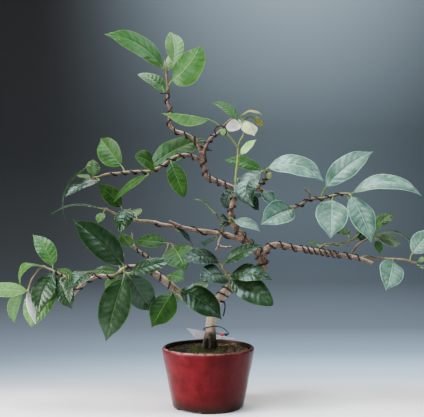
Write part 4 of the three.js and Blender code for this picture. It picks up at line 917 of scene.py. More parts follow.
def on_rib(rib, along):
    base, bend, tip, face = rib
    place = base * (1 - along) ** 2 + bend * 2 * along * (1 - along) + tip * along**2
    tangent = ((bend - base) * (1 - along) + (tip - bend) * along).normalized()
    normal = (face - face.dot(tangent) * tangent).normalized()
    return place, tangent, normal


# %% [markdown]
# One function finds the place of a corner of the blade from its shares of the way along the rib and of the
# way across. The halves rise in a soft curve and droop at the margin, which has small teeth and, on each
# half, a slow wave of its own. The surface puffs up a little between the veins. Heights are in millimetres,
# and the wave and the droop are shares of the leaf's width.

# %% A place on the blade
LEAF_STEPS = 56
HALF_STEPS = 5
ACROSS_POWER = 1.6
LEAST_HALF = 0.45
LEAF_THICK = 0.5
TOOTH = 0.3
WAVE = 0.03
DROOP = 0.035
PUFF = 0.28
VEIN_LEAN = 0.15
RIB_SUNK = 0.12
KEEL = 0.4


def leaf_place(leaf, rib, step, across, under, waves):
    along = eased(step)
    width = leaf["width"]
    place, tangent, normal = on_rib(rib, along)
    off = abs(across) ** ACROSS_POWER
    hand = math.copysign(1, across)
    outline = half_width(along, leaf["tone"].startswith("blunt"))
    half = max(width / 2 * outline, LEAST_HALF)
    fold = math.radians(leaf["fold"])
    count, first, second = waves
    wave = WAVE * width * math.sin(math.tau * (count * along + (first if across < 0 else second)))
    lift = half * math.sin(fold) * (1.35 * off - 0.35 * off * off)
    lift += (wave * off * off - DROOP * width * off**3) * outline
    puff = PUFF * math.cos(math.tau * VEINS_A_HALF * (along - VEIN_LEAN * off)) * off * (1 - off) * outline
    tooth = TOOTH * (round(step * LEAF_STEPS) % 2) * (0.12 < along < 0.94) if off > 0.99 else 0
    thick = LEAF_THICK * (1 - 0.4 * off) / 2
    rise = lift - puff + (-thick if under else thick)
    if off < 0.001:
        rise -= KEEL * (1 - along) if under else RIB_SUNK
    side = tangent.cross(normal)
    return place + side * hand * (off * half * math.cos(fold) + tooth) * MM + normal * rise * MM


# %% [markdown]
# A leaf is built in its spray's bmesh. The chance gives its waves and its shade, which the finish reads as
# an attribute, and the UV map is laid before the grid is bent. The stalk bends into the line of the rib, and
# goes on under the blade as the rib, thinner and thinner, as far as four fifths of its length.

# %% Building a leaf
STALK_RADIUS = 0.8
STALK_SIDES = 8
STALK_STEPS = 8
HANDLE = 0.667
RIB_STEPS = 10
RIB_END = 0.8


def stalk_route(rib, root):
    base, tangent, _ = on_rib(rib, 0)
    sweep = base - tangent * 0.5 * (base - root).length
    handles = (root.lerp(sweep, HANDLE), base.lerp(sweep, HANDLE))
    stalk = geometry.interpolate_bezier(root, *handles, base, STALK_STEPS)[:-1]
    route = []
    for step, place in enumerate(stalk):
        route.append((place, STALK_RADIUS * (1.15 - 0.25 * step / (STALK_STEPS - 1)) * MM))
    for step in range(RIB_STEPS + 1):
        along = RIB_END / RIB_STEPS * step
        place, _, normal = on_rib(rib, along)
        radius = STALK_RADIUS * (0.9 - 0.62 * along / RIB_END)
        sink = min(step / 2, 1) * radius * 0.9
        route.append((place - normal * sink * MM, radius * MM))
    return route


def add_leaf(shape, leaf, root, look, stalk_look, chance):
    rib = rib_of(leaf)
    waves = (chance.uniform(1.2, 2.4), chance.random(), chance.random())
    shade = chance.random()
    uv = shape.loops.layers.uv["UVMap"]
    tone = shape.verts.layers.float["shade"]
    grid = dict(x_segments=LEAF_STEPS, y_segments=2 * HALF_STEPS, size=1.0)
    rims = []
    blade = []
    for under in (False, True):
        corners = bmesh.ops.create_grid(shape, **grid)["verts"]
        for face in {face for corner in corners for face in corner.link_faces}:
            for loop in face.loops:
                spot = loop.vert.co
                across = math.copysign(abs(spot.y) ** ACROSS_POWER, spot.y)
                loop[uv].uv = (eased((spot.x + 1) / 2), 0.5 + across / 2)
            face.material_index = look + under
            blade.append(face)
        for corner in corners:
            corner[tone] = shade
            corner.co = leaf_place(leaf, rib, (corner.co.x + 1) / 2, corner.co.y, under, waves)
        edges = {edge for corner in corners for edge in corner.link_edges}
        rims += [edge for edge in edges if edge.is_boundary]
    bridge = bmesh.ops.bridge_loops(shape, edges=rims)["faces"]
    for face in bridge:
        face.material_index = look
    bmesh.ops.recalc_face_normals(shape, faces=blade + bridge)
    for face in blade + bridge:
        face.smooth = True
    for edge in rims:
        edge.smooth = False
    add_rods(shape, [stalk_route(rib, root)], STALK_SIDES, stalk_look)


# %% [markdown]
# The leaves grow in sprays. Each spray is the thin end of a branch or a shoot, with its leaves and buds. A
# twig is a row of places with its radius, as a limb is. A leaf with a name of its own grows from old wood,
# so it has no twig.

# %% The twigs of the sprays
TWIGS = {
    "spray_apex": [
        [(-44.4, 338, 0, 1.7), (-44.2, 349, 0, 1.5), (-45.4, 360.2, 0, 1.4), (-46.5, 369.6, 0, 1.2)],
    ],
    "spray_crown": [
        [(13.6, 302.5, -8, 1.6), (16.3, 306.3, -9, 1.4), (20.7, 311.3, -9, 1.2), (25.7, 315.7, -8, 1)],
    ],
    "spray_new_shoot": [
        [
            (30.6, 236, -2, 1.7), (30.2, 244.7, -4, 1.5), (30.6, 253.5, -5, 1.4), (32, 266.7, -5, 1.3),
            (32.8, 275.5, -4, 1.2), (32.8, 284.3, -3, 1.1), (35, 291, -1, 1.1), (39.4, 299.7, 2, 1.1),
            (39.4, 313, 6, 1),
        ],
        [(32.8, 284, -3, 1), (27.3, 291.5, -5, 0.9), (21.8, 298, -7, 0.9)],
    ],
    "spray_upper_left": [
        [
            (-48.6, 264.8, -8, 1.7), (-56.3, 260.7, -8, 1.7), (-64, 258, -8, 1.6), (-79.4, 257.6, -6, 1.6),
            (-89.3, 256.8, -4, 1.5), (-99.2, 255.7, -2, 1.5), (-111.3, 254.6, 0, 1.4),
            (-121.2, 251.3, 2, 1.2), (-127.8, 250.2, 3, 1),
        ],
    ],
    "spray_middle_left": [
        [
            (-58.5, 201.8, 18.6, 1.9), (-69.5, 203, 20, 1.8), (-77.2, 203.5, 21, 1.7),
            (-88.2, 206.2, 22, 1.5), (-101.4, 210.6, 23, 1.4), (-113.5, 216.7, 24, 1.2),
        ],
    ],
    "spray_short_shoot": [
        [(17.4, 189.2, 7, 1.3), (15.8, 196.3, 4, 1.1), (12.5, 203.5, 2, 1), (8.1, 211.7, 0, 0.9)],
    ],
    "spray_trunk_bend": [[(25.4, 206.6, 0, 1.5), (25.8, 207, -8, 1.2)]],
    "spray_right_tip": [
        [(53.2, 238.7, 2, 1.9), (59.2, 244.7, 0, 1.7), (63.6, 251, -2, 1.6), (63.6, 258.5, -3, 1.4)],
    ],
    "spray_back_upper": [[(47, 238, 3, 1.5), (46, 236, 16, 1.3), (44, 236, 30, 1.1)]],
    "spray_upper_right": [
        [
            (85.6, 219.8, 9.7, 1.6), (93.3, 218, 10, 1.6), (102, 221, 10, 1.6), (111, 226.8, 9, 1.5),
            (124, 228, 7, 1.4), (138.4, 231, 4, 1.3), (146, 233.2, 3, 1.2), (156, 232.8, 1, 1.1),
        ],
        [(111.5, 227.3, 9, 1.2), (111.5, 232.6, 8, 1.1), (106, 239.2, 7, 1)],
    ],
    "spray_lower_right": [
        [
            (166, 162, -17, 1.6), (174, 164, -11, 1.5), (183.5, 163, -10, 1.4), (199, 161.4, -14, 1.2),
            (215.4, 160.6, -17, 1.1), (229.7, 156.7, -20, 0.9),
        ],
    ],
    "spray_small_right": [
        [
            (120.8, 170.2, -10, 1.4), (125.2, 175.5, -8, 1.3), (135, 178, -6, 1.2), (145, 179, -4, 1.1),
            (157.7, 182, -2, 1), (163.7, 186.4, -1, 0.9),
        ],
    ],
    "spray_middle_right": [
        [
            (156.6, 164.4, -16, 1.4), (160, 171, -13, 1.3), (164.8, 177, -11, 1.2), (173.6, 182.6, -9, 1.1),
            (182.4, 186.4, -7, 1),
        ],
    ],
    "spray_knot": [
        [
            (22.4, 129.2, 1, 2), (22.4, 137, -5, 1.8), (21.8, 143, -8, 1.6), (16.3, 151.2, -7, 1.5),
            (8.6, 159, -3, 1.3), (-3.5, 164.4, 4, 1.2), (-20, 171, 10, 1.1), (-35.4, 175.4, 12, 1),
            (-43, 178.2, 12, 0.9),
        ],
        [(-43, 178.2, 12, 0.9), (-45.3, 172, 7, 0.9), (-49.7, 161, 3, 0.8)],
    ],
    "spray_spur": [[(-34.3, 128, -17, 1.9), (-35, 126.5, -25, 1.6)]],
    "spray_left_fan": [[(-92.6, 150.7, -28, 2), (-93.2, 149, -36, 1.8)]],
    "spray_far_left": [
        [
            (-140, 131.8, -33, 1.6), (-147, 134.8, -33, 1.5), (-155.3, 140.2, -32, 1.4),
            (-166.3, 146.3, -30, 1.3), (-176.2, 150.7, -28, 1.2), (-181.7, 153, -27, 1.1),
            (-189.4, 145.7, -25, 1), (-195, 136.4, -24, 1), (-197.7, 127, -24, 0.9),
        ],
    ],
    "spray_side_shoot": [
        [
            (-62.9, 148.5, -23, 1.8), (-59.4, 156, -22, 1.6), (-64, 161.7, -20, 1.5),
            (-71.7, 167.7, -18, 1.4), (-80.5, 173.8, -16, 1.3), (-82.7, 183, -14, 1.1),
            (-83.8, 190.3, -13, 0.9),
        ],
    ],
    "spray_back_low": [[(56, 149, 8, 1.8), (52, 146, 22, 1.5), (50, 143, 36, 1.3), (49, 140, 46, 1.1)]],
    "spray_back_left": [
        [(-20.1, 116.2, -11, 1.8), (-18.5, 117, 6, 1.5), (-20, 118.5, 24, 1.3), (-26, 118, 38, 1.1)],
    ],
    "spray_back_far": [[(-84, 152.5, -26, 1.7), (-90, 151, -12, 1.4), (-96, 150, 2, 1.2)]],
}
print(sum(len(twigs) for twigs in TWIGS.values()), "twigs")

# %% [markdown]
# A leaf's row starts with where it grows: its twig and its place on it in route points, or a root of its
# own on old wood. Then come its base, its tip, its width, roughly where its upper side looks, its tone and
# how far the rib arches. Most ribs don't sway to the side, and most leaves have a fold of 8 degrees, so
# these two values are written only where they differ. The first table holds the leaves of the crown and of
# the middle left.

# %% The upper leaves
LEAVES = {
    "spray_apex": [
        ((0, 2.9), (-50.8, 372.3, -3), (-114.6, 408.6, -20), 27, (-3, -8, 6), "fresh", 5, 7),
        ((0, 3), (-38.8, 377.8, 1), (-42.6, 411.4, 22), 22, (2, -10, 2), "light", 2, 3, 22),
        ((0, 1), (-39.3, 358, -3), (-9.3, 395.4, -12), 37, (-4, -10, 3), "blunt fresh", 2, 5, -8),
        ((0, 0.9), (-49.2, 346.4, -2), (-77.4, 364.4, 10), 18, (-1, -6, 8), "blunt fresh", 2, 4),
        ((0, 2.8), (-42, 371, 6), (-27, 383, 44), 22, (2, -4, 9), "light", 4),
    ],
    "spray_crown": [
        ((0, 0.7), (-0.3, 315.1, -13), (-50.8, 321.7, -27), 24, (0, -6, 10), "light", 2, 0, -38),
    ],
    "spray_new_shoot": [
        ((1, 2), (21, 299.4, -9.5), (13.5, 304.5, -12), 8, (-5, -10, -2), "pale", 1),
        ((0, 7.9), (32.4, 313.5, 8), (4.2, 333, 4), 18, (4, -7, 8), "fresh", 2, 3, 18),
        ((0, 8), (36.8, 319.5, 8), (59, 320, 4), 14, (0, -3, 10), "olive", 4),
        ((0, 8), (38.1, 311.7, 9.3), (17.9, 304.1, 12), 14, (1, -10, 4), "white", 1),
        ((0, 8), (41.6, 313.6, 2.8), (50.9, 296.9, -6), 19, (4, -10, 2), "straw", 2, 0, -18),
        ((0, 8), (49.2, 316.8, 11), (60.8, 307.4, 18), 9, (1, -8, 5), "olive", 1),
        ((0, 3.7), (35.6, 276.8, -7), (52.6, 292.6, -13), 10, (-5, -10, 5), "pale", 1),
    ],
    "spray_upper_left": [
        ((0, 1.2), (-61.9, 263.4, 1), (-1.9, 293.1, 30), 30, (-3, -10, 5), "leafy", 4, -3),
        ((0, 1.5), (-59.7, 262.9, -13), (-80.6, 274.4, -34), 25, (-3, -9, 5), "blunt leafy", 3),
        ((0, 2.4), (-66, 254, -9), (-104.2, 223.8, -16), 20, (-6, -5, 8), "leafy", 3),
        ((0, 4.3), (-95.4, 264, 2), (-118, 294.2, 22), 30, (-6, -9, 3), "leafy", 2, 0, 25),
        ((0, 8), (-126.7, 253.4, 8), (-126.7, 271, 22), 15, (3, -10, 3), "leafy", 1),
        ((0, 7.9), (-132.2, 263.4, -4), (-157.5, 205, -10), 20, (-9, -2, 4), "glossy", 12),
        ((0, 7.4), (-121.2, 247.6, -6), (-157.5, 229.3, -32), 19, (1, -3, 10), "glossy", 4),
        ((0, 7.9), (-130, 249, 9), (-146.5, 253.5, 28), 12, (0, -3, 10), "leafy", 2),
    ],
    "leaf_hanging": [
        ((-40.5, 271, -8), (-40.4, 266, -14), (-26.6, 229.3, -20), 20, (2, -10, 0), "blunt leafy", 2),
    ],
    "spray_middle_left": [
        ((0, 3), (-86, 216, 11.6), (-97, 189.7, -3), 23, (-3, -9, 3), "dark", 5),
        ((0, 3.6), (-96, 219.5, 17), (-121.2, 243.6, 6), 20, (2, -10, 4), "leafy", 3),
        ((0, 5), (-122.3, 218.3, 25), (-172.4, 211.2, 18), 20, (0, -1, 10), "glossy", 6),
        ((0, 4.9), (-115.7, 212, 17), (-121.2, 201, 8), 10, (-2, -10, 2), "light", 1),
        ((0, 2.2), (-79, 208, 30), (-87, 213, 60), 21, (0, -4, 9), "green", 4),
    ],
    "leaf_edge_on": [
        ((-36.5, 197.4, 15), (-33.2, 193, 20), (-16.7, 174.5, 46), 20, (8, -2, 6), "glossy", 3),
    ],
    "leaf_behind_trunk": [
        ((8, 190, 8), (9, 184.4, 14), (-4, 175, 48), 20, (0, -5, 9), "dark", 3),
    ],
    "spray_short_shoot": [
        ((0, 3), (4.8, 214.5, -1), (-17.8, 227, -8), 10, (-4, -3, 9), "leafy", 4),
    ],
    "spray_trunk_bend": [
        ((0, 1), (29.5, 204, -11), (56.6, 192, -27), 18, (1, -6, 9), "sheen", 3),
        ((0, 1), (21.8, 205, -10), (13, 208, -21), 10, (-1, -8, 6), "dark", 1),
        ((0, 0.9), (22.9, 201.6, -10), (14, 196.5, -19), 9, (-1, -8, 6), "dark", 1),
    ],
}
print(sum(len(leaves) for leaves in LEAVES.values()), "leaves so far")

# %% [markdown]
# The right side of the plant holds many of its largest leaves. Several face up toward the panel over the
# plant, so their tone is the one with the most painted sheen.

# %% The leaves at the right
LEAVES |= {
    "spray_right_tip": [
        ((0, 3), (66.8, 261.9, -6.7), (127.3, 246.9, -17), 29, (1, -9, 7), "sheen", 9, -5),
        ((0, 2.9), (57.5, 259.5, 2), (17.3, 270, 12), 14, (-2, -10, 4), "fresh", 3, 2),
        ((0, 2.9), (58.6, 257.4, -9), (50.3, 218.8, -30), 27, (-4, -8, 4), "glossy", 5, 12),
    ],
    "leaf_fork_front": [
        ((34, 233, 0), (38.2, 231.5, 8), (55.8, 215, 20), 16, (3, -9, 5), "glossy", 4),
    ],
    "leaf_fork_behind": [
        ((29.5, 236, -1), (26.8, 235.6, 7), (17.3, 217.2, 24), 18, (-3, -9, 3), "glossy", 3),
    ],
    "spray_back_upper": [
        ((0, 2), (43.5, 239, 34), (38, 250, 60), 22, (0, -3, 9), "sheen", 4),
        ((0, 1.9), (46, 233, 33), (52, 226, 61), 20, (1, -3, 9), "glossy", 5),
    ],
    "leaf_glossy": [
        ((62, 234.5, 6), (61.9, 236.4, 0), (70.1, 221.6, -6), 17, (3, -9, 5), "sheen", 2),
    ],
    "spray_upper_right": [
        ((0, 1), (93, 216.6, 2), (57.6, 199.6, -22), 31, (2, -9, 6), "sheen", 4, 0, 18),
        ((0, 4), (130.2, 241.4, 6), (181, 279.4, 14), 27, (-3, -10, 4), "sheen", 3, -3),
        ((0, 5), (136.2, 226, 0), (134.6, 184.2, -34), 35, (0, -10, 7), "sheen", 4),
        ((0, 7), (160.4, 235, -1), (235.1, 230.9, -14), 25, (0, -7, 8), "sheen", 13, -5),
        ((0, 6.9), (157.9, 229.6, -5), (179.7, 180, -24), 30, (3, -10, 4), "sheen", 3),
        ((0, 6.5), (152, 230, 9), (166, 207, 54), 26, (1, -5, 8), "sheen", 5),
        ((0, 4.6), (133, 225, 13), (131, 203, 52), 24, (0, -5, 8), "glossy", 4),
    ],
    "spray_lower_right": [
        ((0, 3.3), (203, 159, -21), (195.6, 127, -52), 27, (2, -10, 5), "sheen", 4),
        ((0, 4.5), (224.8, 168, -22), (247.3, 194, -26), 22, (-4, -10, 3), "sheen", 2),
        ((0, 4.9), (231.5, 158.6, -19), (249, 162, -12), 12, (0, -3, 10), "light", 1),
        ((0, 5), (231.5, 154.6, -22), (247, 149, -30), 12, (0, -4, 9), "glossy", 1),
    ],
    "spray_small_right": [
        ((0, 3.8), (153.8, 187.6, 4), (138, 194, 30), 17, (2, -9, 6), "leafy", 2),
        ((0, 1.3), (132, 176.4, -13), (155, 175.4, -23), 9, (0, -4, 9), "dark", 1),
        ((0, 0.9), (119.5, 177.6, -3), (108.7, 180.5, 8), 8, (0, -5, 8), "leafy", 1),
        ((0, 5), (165.5, 189, 1), (171, 195, 14), 10, (-6, -3, 6), "leafy", 1),
        ((0, 4.6), (165, 182.6, 2), (177, 187.5, 18), 12, (1, -8, 6), "glossy", 1),
    ],
    "spray_middle_right": [
        ((0, 4), (185.7, 197, 3), (201.7, 211.2, 24), 17, (-4, -9, 5), "leafy", 2),
        ((0, 3.9), (183.5, 191.6, -5), (188.5, 207.3, 0), 9, (-3, -10, 2), "light", 1),
        ((0, 4), (187, 188.4, -8), (227.5, 169.4, -6), 18, (4, -1, 9), "dark", 11),
        ((0, 4), (186.5, 184.8, -3), (211, 178.2, 16), 15, (1, -9, 4), "drab", 2),
        ((0, 3.9), (185.6, 181.6, -10), (188.5, 167.4, -17), 10, (2, -10, 1), "leafy", 1),
    ],
}
print(sum(len(leaves) for leaves in LEAVES.values()), "leaves so far")

# %% [markdown]
# Low down, the leaves hang in fans from the lowest limb and from a long shoot on the trunk. The sprays at
# the back are seen between them.

# %% The leaves at the knot and at the lower left
LEAVES |= {
    "spray_knot": [
        ((0, 4), (11.3, 158.3, -10), (-27.2, 156.1, -42), 24, (0, -9, 7), "glossy", 5, 5),
        ((0, 2.4), (17.9, 142.9, -15), (-8.5, 138.5, -44), 29, (0, -9, 6), "blunt glossy", 5),
        ((0, 3), (18.4, 157.8, -11), (59.1, 177, -24), 18, (1, -8, 7), "dark", 3),
        ((0, 2.3), (25, 143.5, -13), (70.1, 138.5, -28), 24, (1, -8, 7), "dark", 8),
        ((0, 1.7), (26.7, 139.6, -12), (71.2, 110.5, -38), 29, (2, -10, 3), "blunt dark", 4),
        ((0, 8), (-46, 178.9, 13), (-81, 181, 26), 18, (0, -8, 6), "leafy", 2),
        ((0, 7.6), (-38.4, 175, 5), (-24.5, 149, -22), 34, (0, -9, 5), "leafy", 4),
    ],
    "spray_spur": [
        ((0, 1), (-30.5, 126.5, -27), (14.6, 95.1, -35), 30, (2, -9, 5), "dark", 3, -3),
        ((0, 1), (-39.3, 124.6, -29), (-62.2, 86.3, -44), 29, (-2, -10, 1), "leafy", 2, 0, -14),
    ],
    "leaf_round": [
        ((-44.5, 136, -20), (-43, 143.6, -25), (-25.5, 138, -37), 18, (1, -8, 6), "leafy", 2),
    ],
    "spray_left_fan": [
        ((0, 1), (-93.7, 155.6, -41), (-149.3, 205, -56), 31, (3, -10, 4), "dark", 5),
        ((0, 1), (-93, 140.6, -42), (-112.4, 71, -50), 34, (-1, -10, 2), "dark", 4),
        ((0, 1), (-87.6, 143.5, -38), (-61, 103.4, -22), 30, (2, -10, -1), "dark", 2),
        ((0, 1), (-86, 146.4, -41), (-39.8, 160, -47), 17, (2, -9, 6), "dark", 2),
        ((0, 1), (-100, 147, -40), (-126.7, 149, -48), 12, (0, -7, 8), "fresh", 1),
    ],
    "spray_far_left": [
        ((0, 3.6), (-171, 154, -25), (-193.3, 188, -12), 20, (3, -9, 4), "fresh", 2, 3),
        ((0, 5), (-183.2, 153.7, -29.4), (-206.5, 131.9, -36), 19, (-5, -4, 6), "fresh", 12),
        ((0, 8), (-199.4, 126.4, -24), (-250, 127, -16), 17, (0, -9, 5), "light", 2),
        ((0, 7.9), (-204.3, 123.1, -20), (-212.6, 90.1, 4), 14, (-3, -10, -2), "fresh", 2, 6),
        # This leaf's near-white tone is a painted highlight on its paler under side.
        ((0, 8), (-197.2, 124.8, -29), (-189.5, 90.1, -42), 12, (6, -4, 0), "white", 2, 4),
        ((0, 7.8), (-198.3, 120.4, -18), (-194.4, 86.3, -14), 13, (-4, -8, -3), "light", 2),
        ((0, 3.7), (-170.2, 145.1, -35), (-186.8, 101.7, -48), 26, (-3, -9, 2), "dark", 2, 3),
        ((0, 3), (-166.4, 141.8, -25), (-187.3, 106.1, -22), 16, (-3, -9, 0), "dark", 2),
        ((0, 2), (-166.4, 125.9, -24), (-193.9, 86.8, -26), 13, (-3, -9, -1), "fresh", 2),
        ((0, 2.2), (-162.5, 136.3, -40), (-149.9, 106.6, -48), 19, (-2, -10, 2), "dark", 2),
        ((0, 1.5), (-153.5, 142.5, -39.5), (-151.5, 112.7, -60), 12, (-4, -9, 1), "dark", 1),
        ((0, 1.2), (-148.7, 141, -27), (-166, 151, -6), 11, (0, -6, 8), "leafy", 1),
    ],
    "leaf_left_middle": [
        ((-118.5, 142.5, -30.9), (-130.5, 147.5, -38), (-149.8, 130.3, -57), 22, (-4, -9, 4), "dark", 3),
    ],
    "spray_side_shoot": [
        ((0, 4.2), (-85, 175.4, -21), (-96, 191, -36), 16, (-3, -10, 1), "leafy", 2),
    ],
    "spray_back_low": [
        ((0, 3), (50, 137, 49), (60, 121, 62), 22, (1, -4, 9), "green", 4),
        ((0, 2.5), (45, 143.5, 44), (34, 150, 61), 21, (0, -3, 9), "dark", 4),
        ((0, 1.8), (55, 146.5, 38), (62, 148, 60), 18, (1, -3, 9), "dark", 3),
    ],
    "spray_back_left": [
        ((0, 3), (-30, 116.5, 41), (-50, 104, 62), 22, (-1, -4, 9), "green", 4),
        ((0, 2.6), (-20, 115.5, 37), (0, 106, 60), 20, (0, -4, 9), "dark", 3),
        ((0, 1.6), (-14, 124, 22), (-4, 136, 52), 18, (0, -4, 9), "green", 3),
    ],
    "spray_back_far": [
        ((0, 2), (-98, 153.5, 6), (-110, 170, 42), 23, (-1, -5, 8), "green", 4),
        ((0, 1.9), (-98, 145, 5), (-107, 112, 36), 23, (-1, -8, 5), "leafy", 4),
    ],
}
print(sum(len(leaves) for leaves in LEAVES.values()), "leaves")

# %% [markdown]
# A spray becomes one piece. The twig swells a little at each leaf. A bud is a short rod with the radii of a
# pointed oval, from its foot to its tip, and its row ends with its radius. A seeded chance varies the waves
# and the shade of the leaves, so every run gives the same plant.

# %% Building the sprays
BUDS = {
    "spray_apex": [((-46.2, 367.5, 0), (-47.8, 381.1, -1), 2.2)],
    "spray_right_tip": [((64, 250.5, -2), (69.6, 256.4, -9), 3.3)],
}
YOUNG = {"spray_apex", "spray_crown", "spray_new_shoot", "spray_upper_left", "leaf_hanging"}
YOUNG |= {"spray_far_left", "spray_side_shoot"}
LEAF_VALUES = ("grows", "base", "tip", "width", "face", "tone", "arch", "sway", "fold")
USUAL = {"sway": 0, "fold": 8}
TWIG_SIDES = 12
SWELLING_REACH = 1.6
SWELLING_HEIGHT = 0.35
TWIG_UNEVEN = 0.12
TWIG_RATE = 300
BUD_STEPS = 12
LEAST_BUD = 0.05


def root_of(leaf, twigs):
    if len(leaf["grows"]) == 3:
        return seen(leaf["grows"])
    number, place = leaf["grows"]
    route = twigs[number]
    spot = min(place * SPAN_STEPS, len(route) - 1)
    before = min(int(spot), len(route) - 2)
    return route[before][0].lerp(route[before + 1][0], spot - before)


def grown_twig(twig, roots):
    grown = []
    for place, radius in twig:
        near = [(place - root).length / (SWELLING_REACH * MM) for root in roots]
        swelling = min(sum(math.exp(-(reach**2)) for reach in near), 1)
        uneven = 1 + TWIG_UNEVEN * noise.noise(place * TWIG_RATE)
        grown.append((place, radius * uneven + SWELLING_HEIGHT * MM * swelling))
    return grown


def bud_route(base, tip, radius):
    start, end = seen(base), seen(tip)
    shares = [step / BUD_STEPS for step in range(BUD_STEPS + 1)]
    radii = [max(radius * math.sin(math.pi * share**0.8), LEAST_BUD) for share in shares]
    return [(start.lerp(end, share), size * MM) for share, size in zip(shares, radii)]


def build_spray(name, chance):
    shape = bmesh.new()
    shape.loops.layers.uv.new("UVMap")
    shape.verts.layers.float.new("shade")
    looks = [green_wood if name == "spray_new_shoot" else twig_bark, stalk_green, bud_green]
    twigs = [limb_route(rows) for rows in TWIGS.get(name, [])]
    leaves = [USUAL | dict(zip(LEAF_VALUES, row)) for row in LEAVES[name]]
    roots = [root_of(leaf, twigs) for leaf in leaves]
    for twig in twigs:
        add_rods(shape, [grown_twig(twig, roots)], TWIG_SIDES, 0)
    for leaf, root in zip(leaves, roots):
        upper, under = leaf_looks[leaf["tone"].split()[-1]]
        if upper not in looks:
            looks += [upper, under]
        add_leaf(shape, leaf, root, looks.index(upper), 1, chance)
    for bud in BUDS.get(name, []):
        add_rods(shape, [bud_route(*bud)], TWIG_SIDES, 2)
    finished(name + "_grown", shape, looks, [name])


chance = random.Random(11)
for name in LEAVES:
    build_spray(name, chance)
print(len(LEAVES), "sprays and single leaves")

# %% [markdown]
# Bonsai wire is soft aluminium, anodised dark so that it hides against the bark. It is wound by hand, so its
# turns lie close to the wood. The coil follows a frame that moves along the limb without twisting. Each row
# gives the limb, the millimetres along it where the coil starts and ends, its turns, the turn it starts at
# and how loose it lies. Some wires have a head or a tail that leaves the limb.

# %% The rows of the wires
HOSTS = dict(LIMBS)
HOSTS["upper_left_whole"] = LIMBS["upper_left"] + TWIGS["spray_upper_left"][0][1:]
for spray_name in ("spray_side_shoot", "spray_far_left", "spray_upper_right", "spray_right_tip"):
    HOSTS[spray_name] = TWIGS[spray_name][0]
WIRES = {
    "wire_trunk_low": ("trunk", 75, 99, 3, 0.05, 0),
    "wire_trunk": ("trunk", 121, 229, 8.6, 0.5, 0.2),
    "wire_trunk_top": ("trunk", 244, 288, 4.8, 0.4, 0),
    "wire_leader": ("leader", 8, 84, 6, 0.1, 0),
    "wire_crown": ("crown", 8, 26, 2, 0.1, 0),
    "wire_upper_left": ("upper_left_whole", 11, 115, 9, 0.7, 0),
    "wire_middle_left": ("middle_left", 14, 104, 3.4, 0.5, 0),
    "wire_lower_left": ("lower_left", 54, 176, 10, 0.65, 0),
    "wire_side_shoot": ("spray_side_shoot", 12, 34, 3, 0.1, 0),
    "wire_far_left": ("spray_far_left", 17, 35, 2.6, 0.1, 0),
    "wire_right": ("right", 10, 118, 9, 0.1, 0),
    "wire_right_second": ("right", 58, 94, 3, 0.6, 0),
    "wire_upper_right": ("spray_upper_right", 12, 66, 4.6, 0.7, 0),
    "wire_right_tip": ("spray_right_tip", 6, 18, 2, 0.6, 0),
}
HEADS = {"wire_trunk_low": [(16.4, 98.5, -9), (18.4, 107, -9), (17.6, 114, -9.5)]}
TAILS = {
    "wire_trunk_top": [(-3.5, 280.5, -10), (4.1, 281, -9.5)],
    "wire_leader": [(-44, 343.5, -5.5), (-53, 343.7, -4.5)],
    "wire_crown": [
        (8.5, 298.6, -14), (6.9, 303, -14.5), (9.6, 306.9, -14.5), (14, 308, -14.5), (18.4, 306.3, -14.5),
        (20.6, 301.9, -15), (18.4, 297.5, -15.5),
    ],
}
print(len(WIRES), "wires")

# %% [markdown]
# A coil's places are worked out in a loop. Each lies on the circle round the limb that the frame spans, at
# the bark's radius plus the wire's own. The limb's route is cut finer than for the wood, so that the turns
# stay even.

# %% Winding the wires
WIRE_RADIUS = 0.9
WIRE_SIDES = 8
COIL_STEPS = 18
HOST_STEPS = 20


def frames_along(route):
    places = [place for place, _ in route]
    ways = [(b - a).normalized() for a, b in zip(places, places[1:])]
    ways.append(ways[-1])
    sizes = [abs(value) for value in ways[0]]
    least = max(axis for axis in range(3) if sizes[axis] == min(sizes))
    first = Vector([float(axis == least) for axis in range(3)])
    normal = ways[0].cross(ways[0].cross(first).normalized())
    frames = [(normal, ways[0].cross(normal))]
    for before, way in zip(ways, ways[1:]):
        normal = before.rotation_difference(way) @ normal
        frames.append((normal, way.cross(normal)))
    return frames


def coil_route(host, first, last, turns, start, loose):
    route = limb_route(HOSTS[host], HOST_STEPS)
    frames = frames_along(route)
    marks = [0.0]
    for (a, _), (b, _) in zip(route, route[1:]):
        marks.append(marks[-1] + (b - a).length / MM)
    coil = []
    count = round(turns * COIL_STEPS)
    spot = 0
    for step in range(count + 1):
        reach = first + (last - first) * step / count
        while spot < len(marks) - 2 and marks[spot + 1] < reach:
            spot += 1
        share = (reach - marks[spot]) / (marks[spot + 1] - marks[spot])
        place = route[spot][0].lerp(route[spot + 1][0], share)
        bark_radius = route[spot][1] * (1 - share) + route[spot + 1][1] * share
        normal, binormal = frames[spot]
        angle = math.tau * (start + turns * step / count)
        away = bark_radius + (WIRE_RADIUS + loose) * MM
        coil.append(place + (normal * math.cos(angle) + binormal * math.sin(angle)) * away)
    return coil


def worn_finish(name, settings, stops, size, depth):
    made, tree, shader = new_finish(name, settings)
    rubbed = spots(tree, size)
    set_surface(tree, shader, add_node(tree, "ValToRGB", {"stops": stops}, [rubbed]), rubbed, depth)
    return made


wire_metal = {"Roughness": 0.42, "Metallic": 0.75}
wire_greys = [(0.35, "1c191a"), (0.6, "2e2929"), (0.75, "5a504a")]
wire_finish = worn_finish("anodised aluminium wire", wire_metal, wire_greys, 3, 0.08)
for name, row in WIRES.items():
    places = [seen(place) for place in HEADS.get(name, [])]
    places += coil_route(*row)
    places += [seen(place) for place in TAILS.get(name, [])]
    shape = bmesh.new()
    add_rods(shape, [smooth_route([(place, WIRE_RADIUS * MM) for place in places], 2)], WIRE_SIDES)
    finished(name + "_wound", shape, [wire_finish], [name])

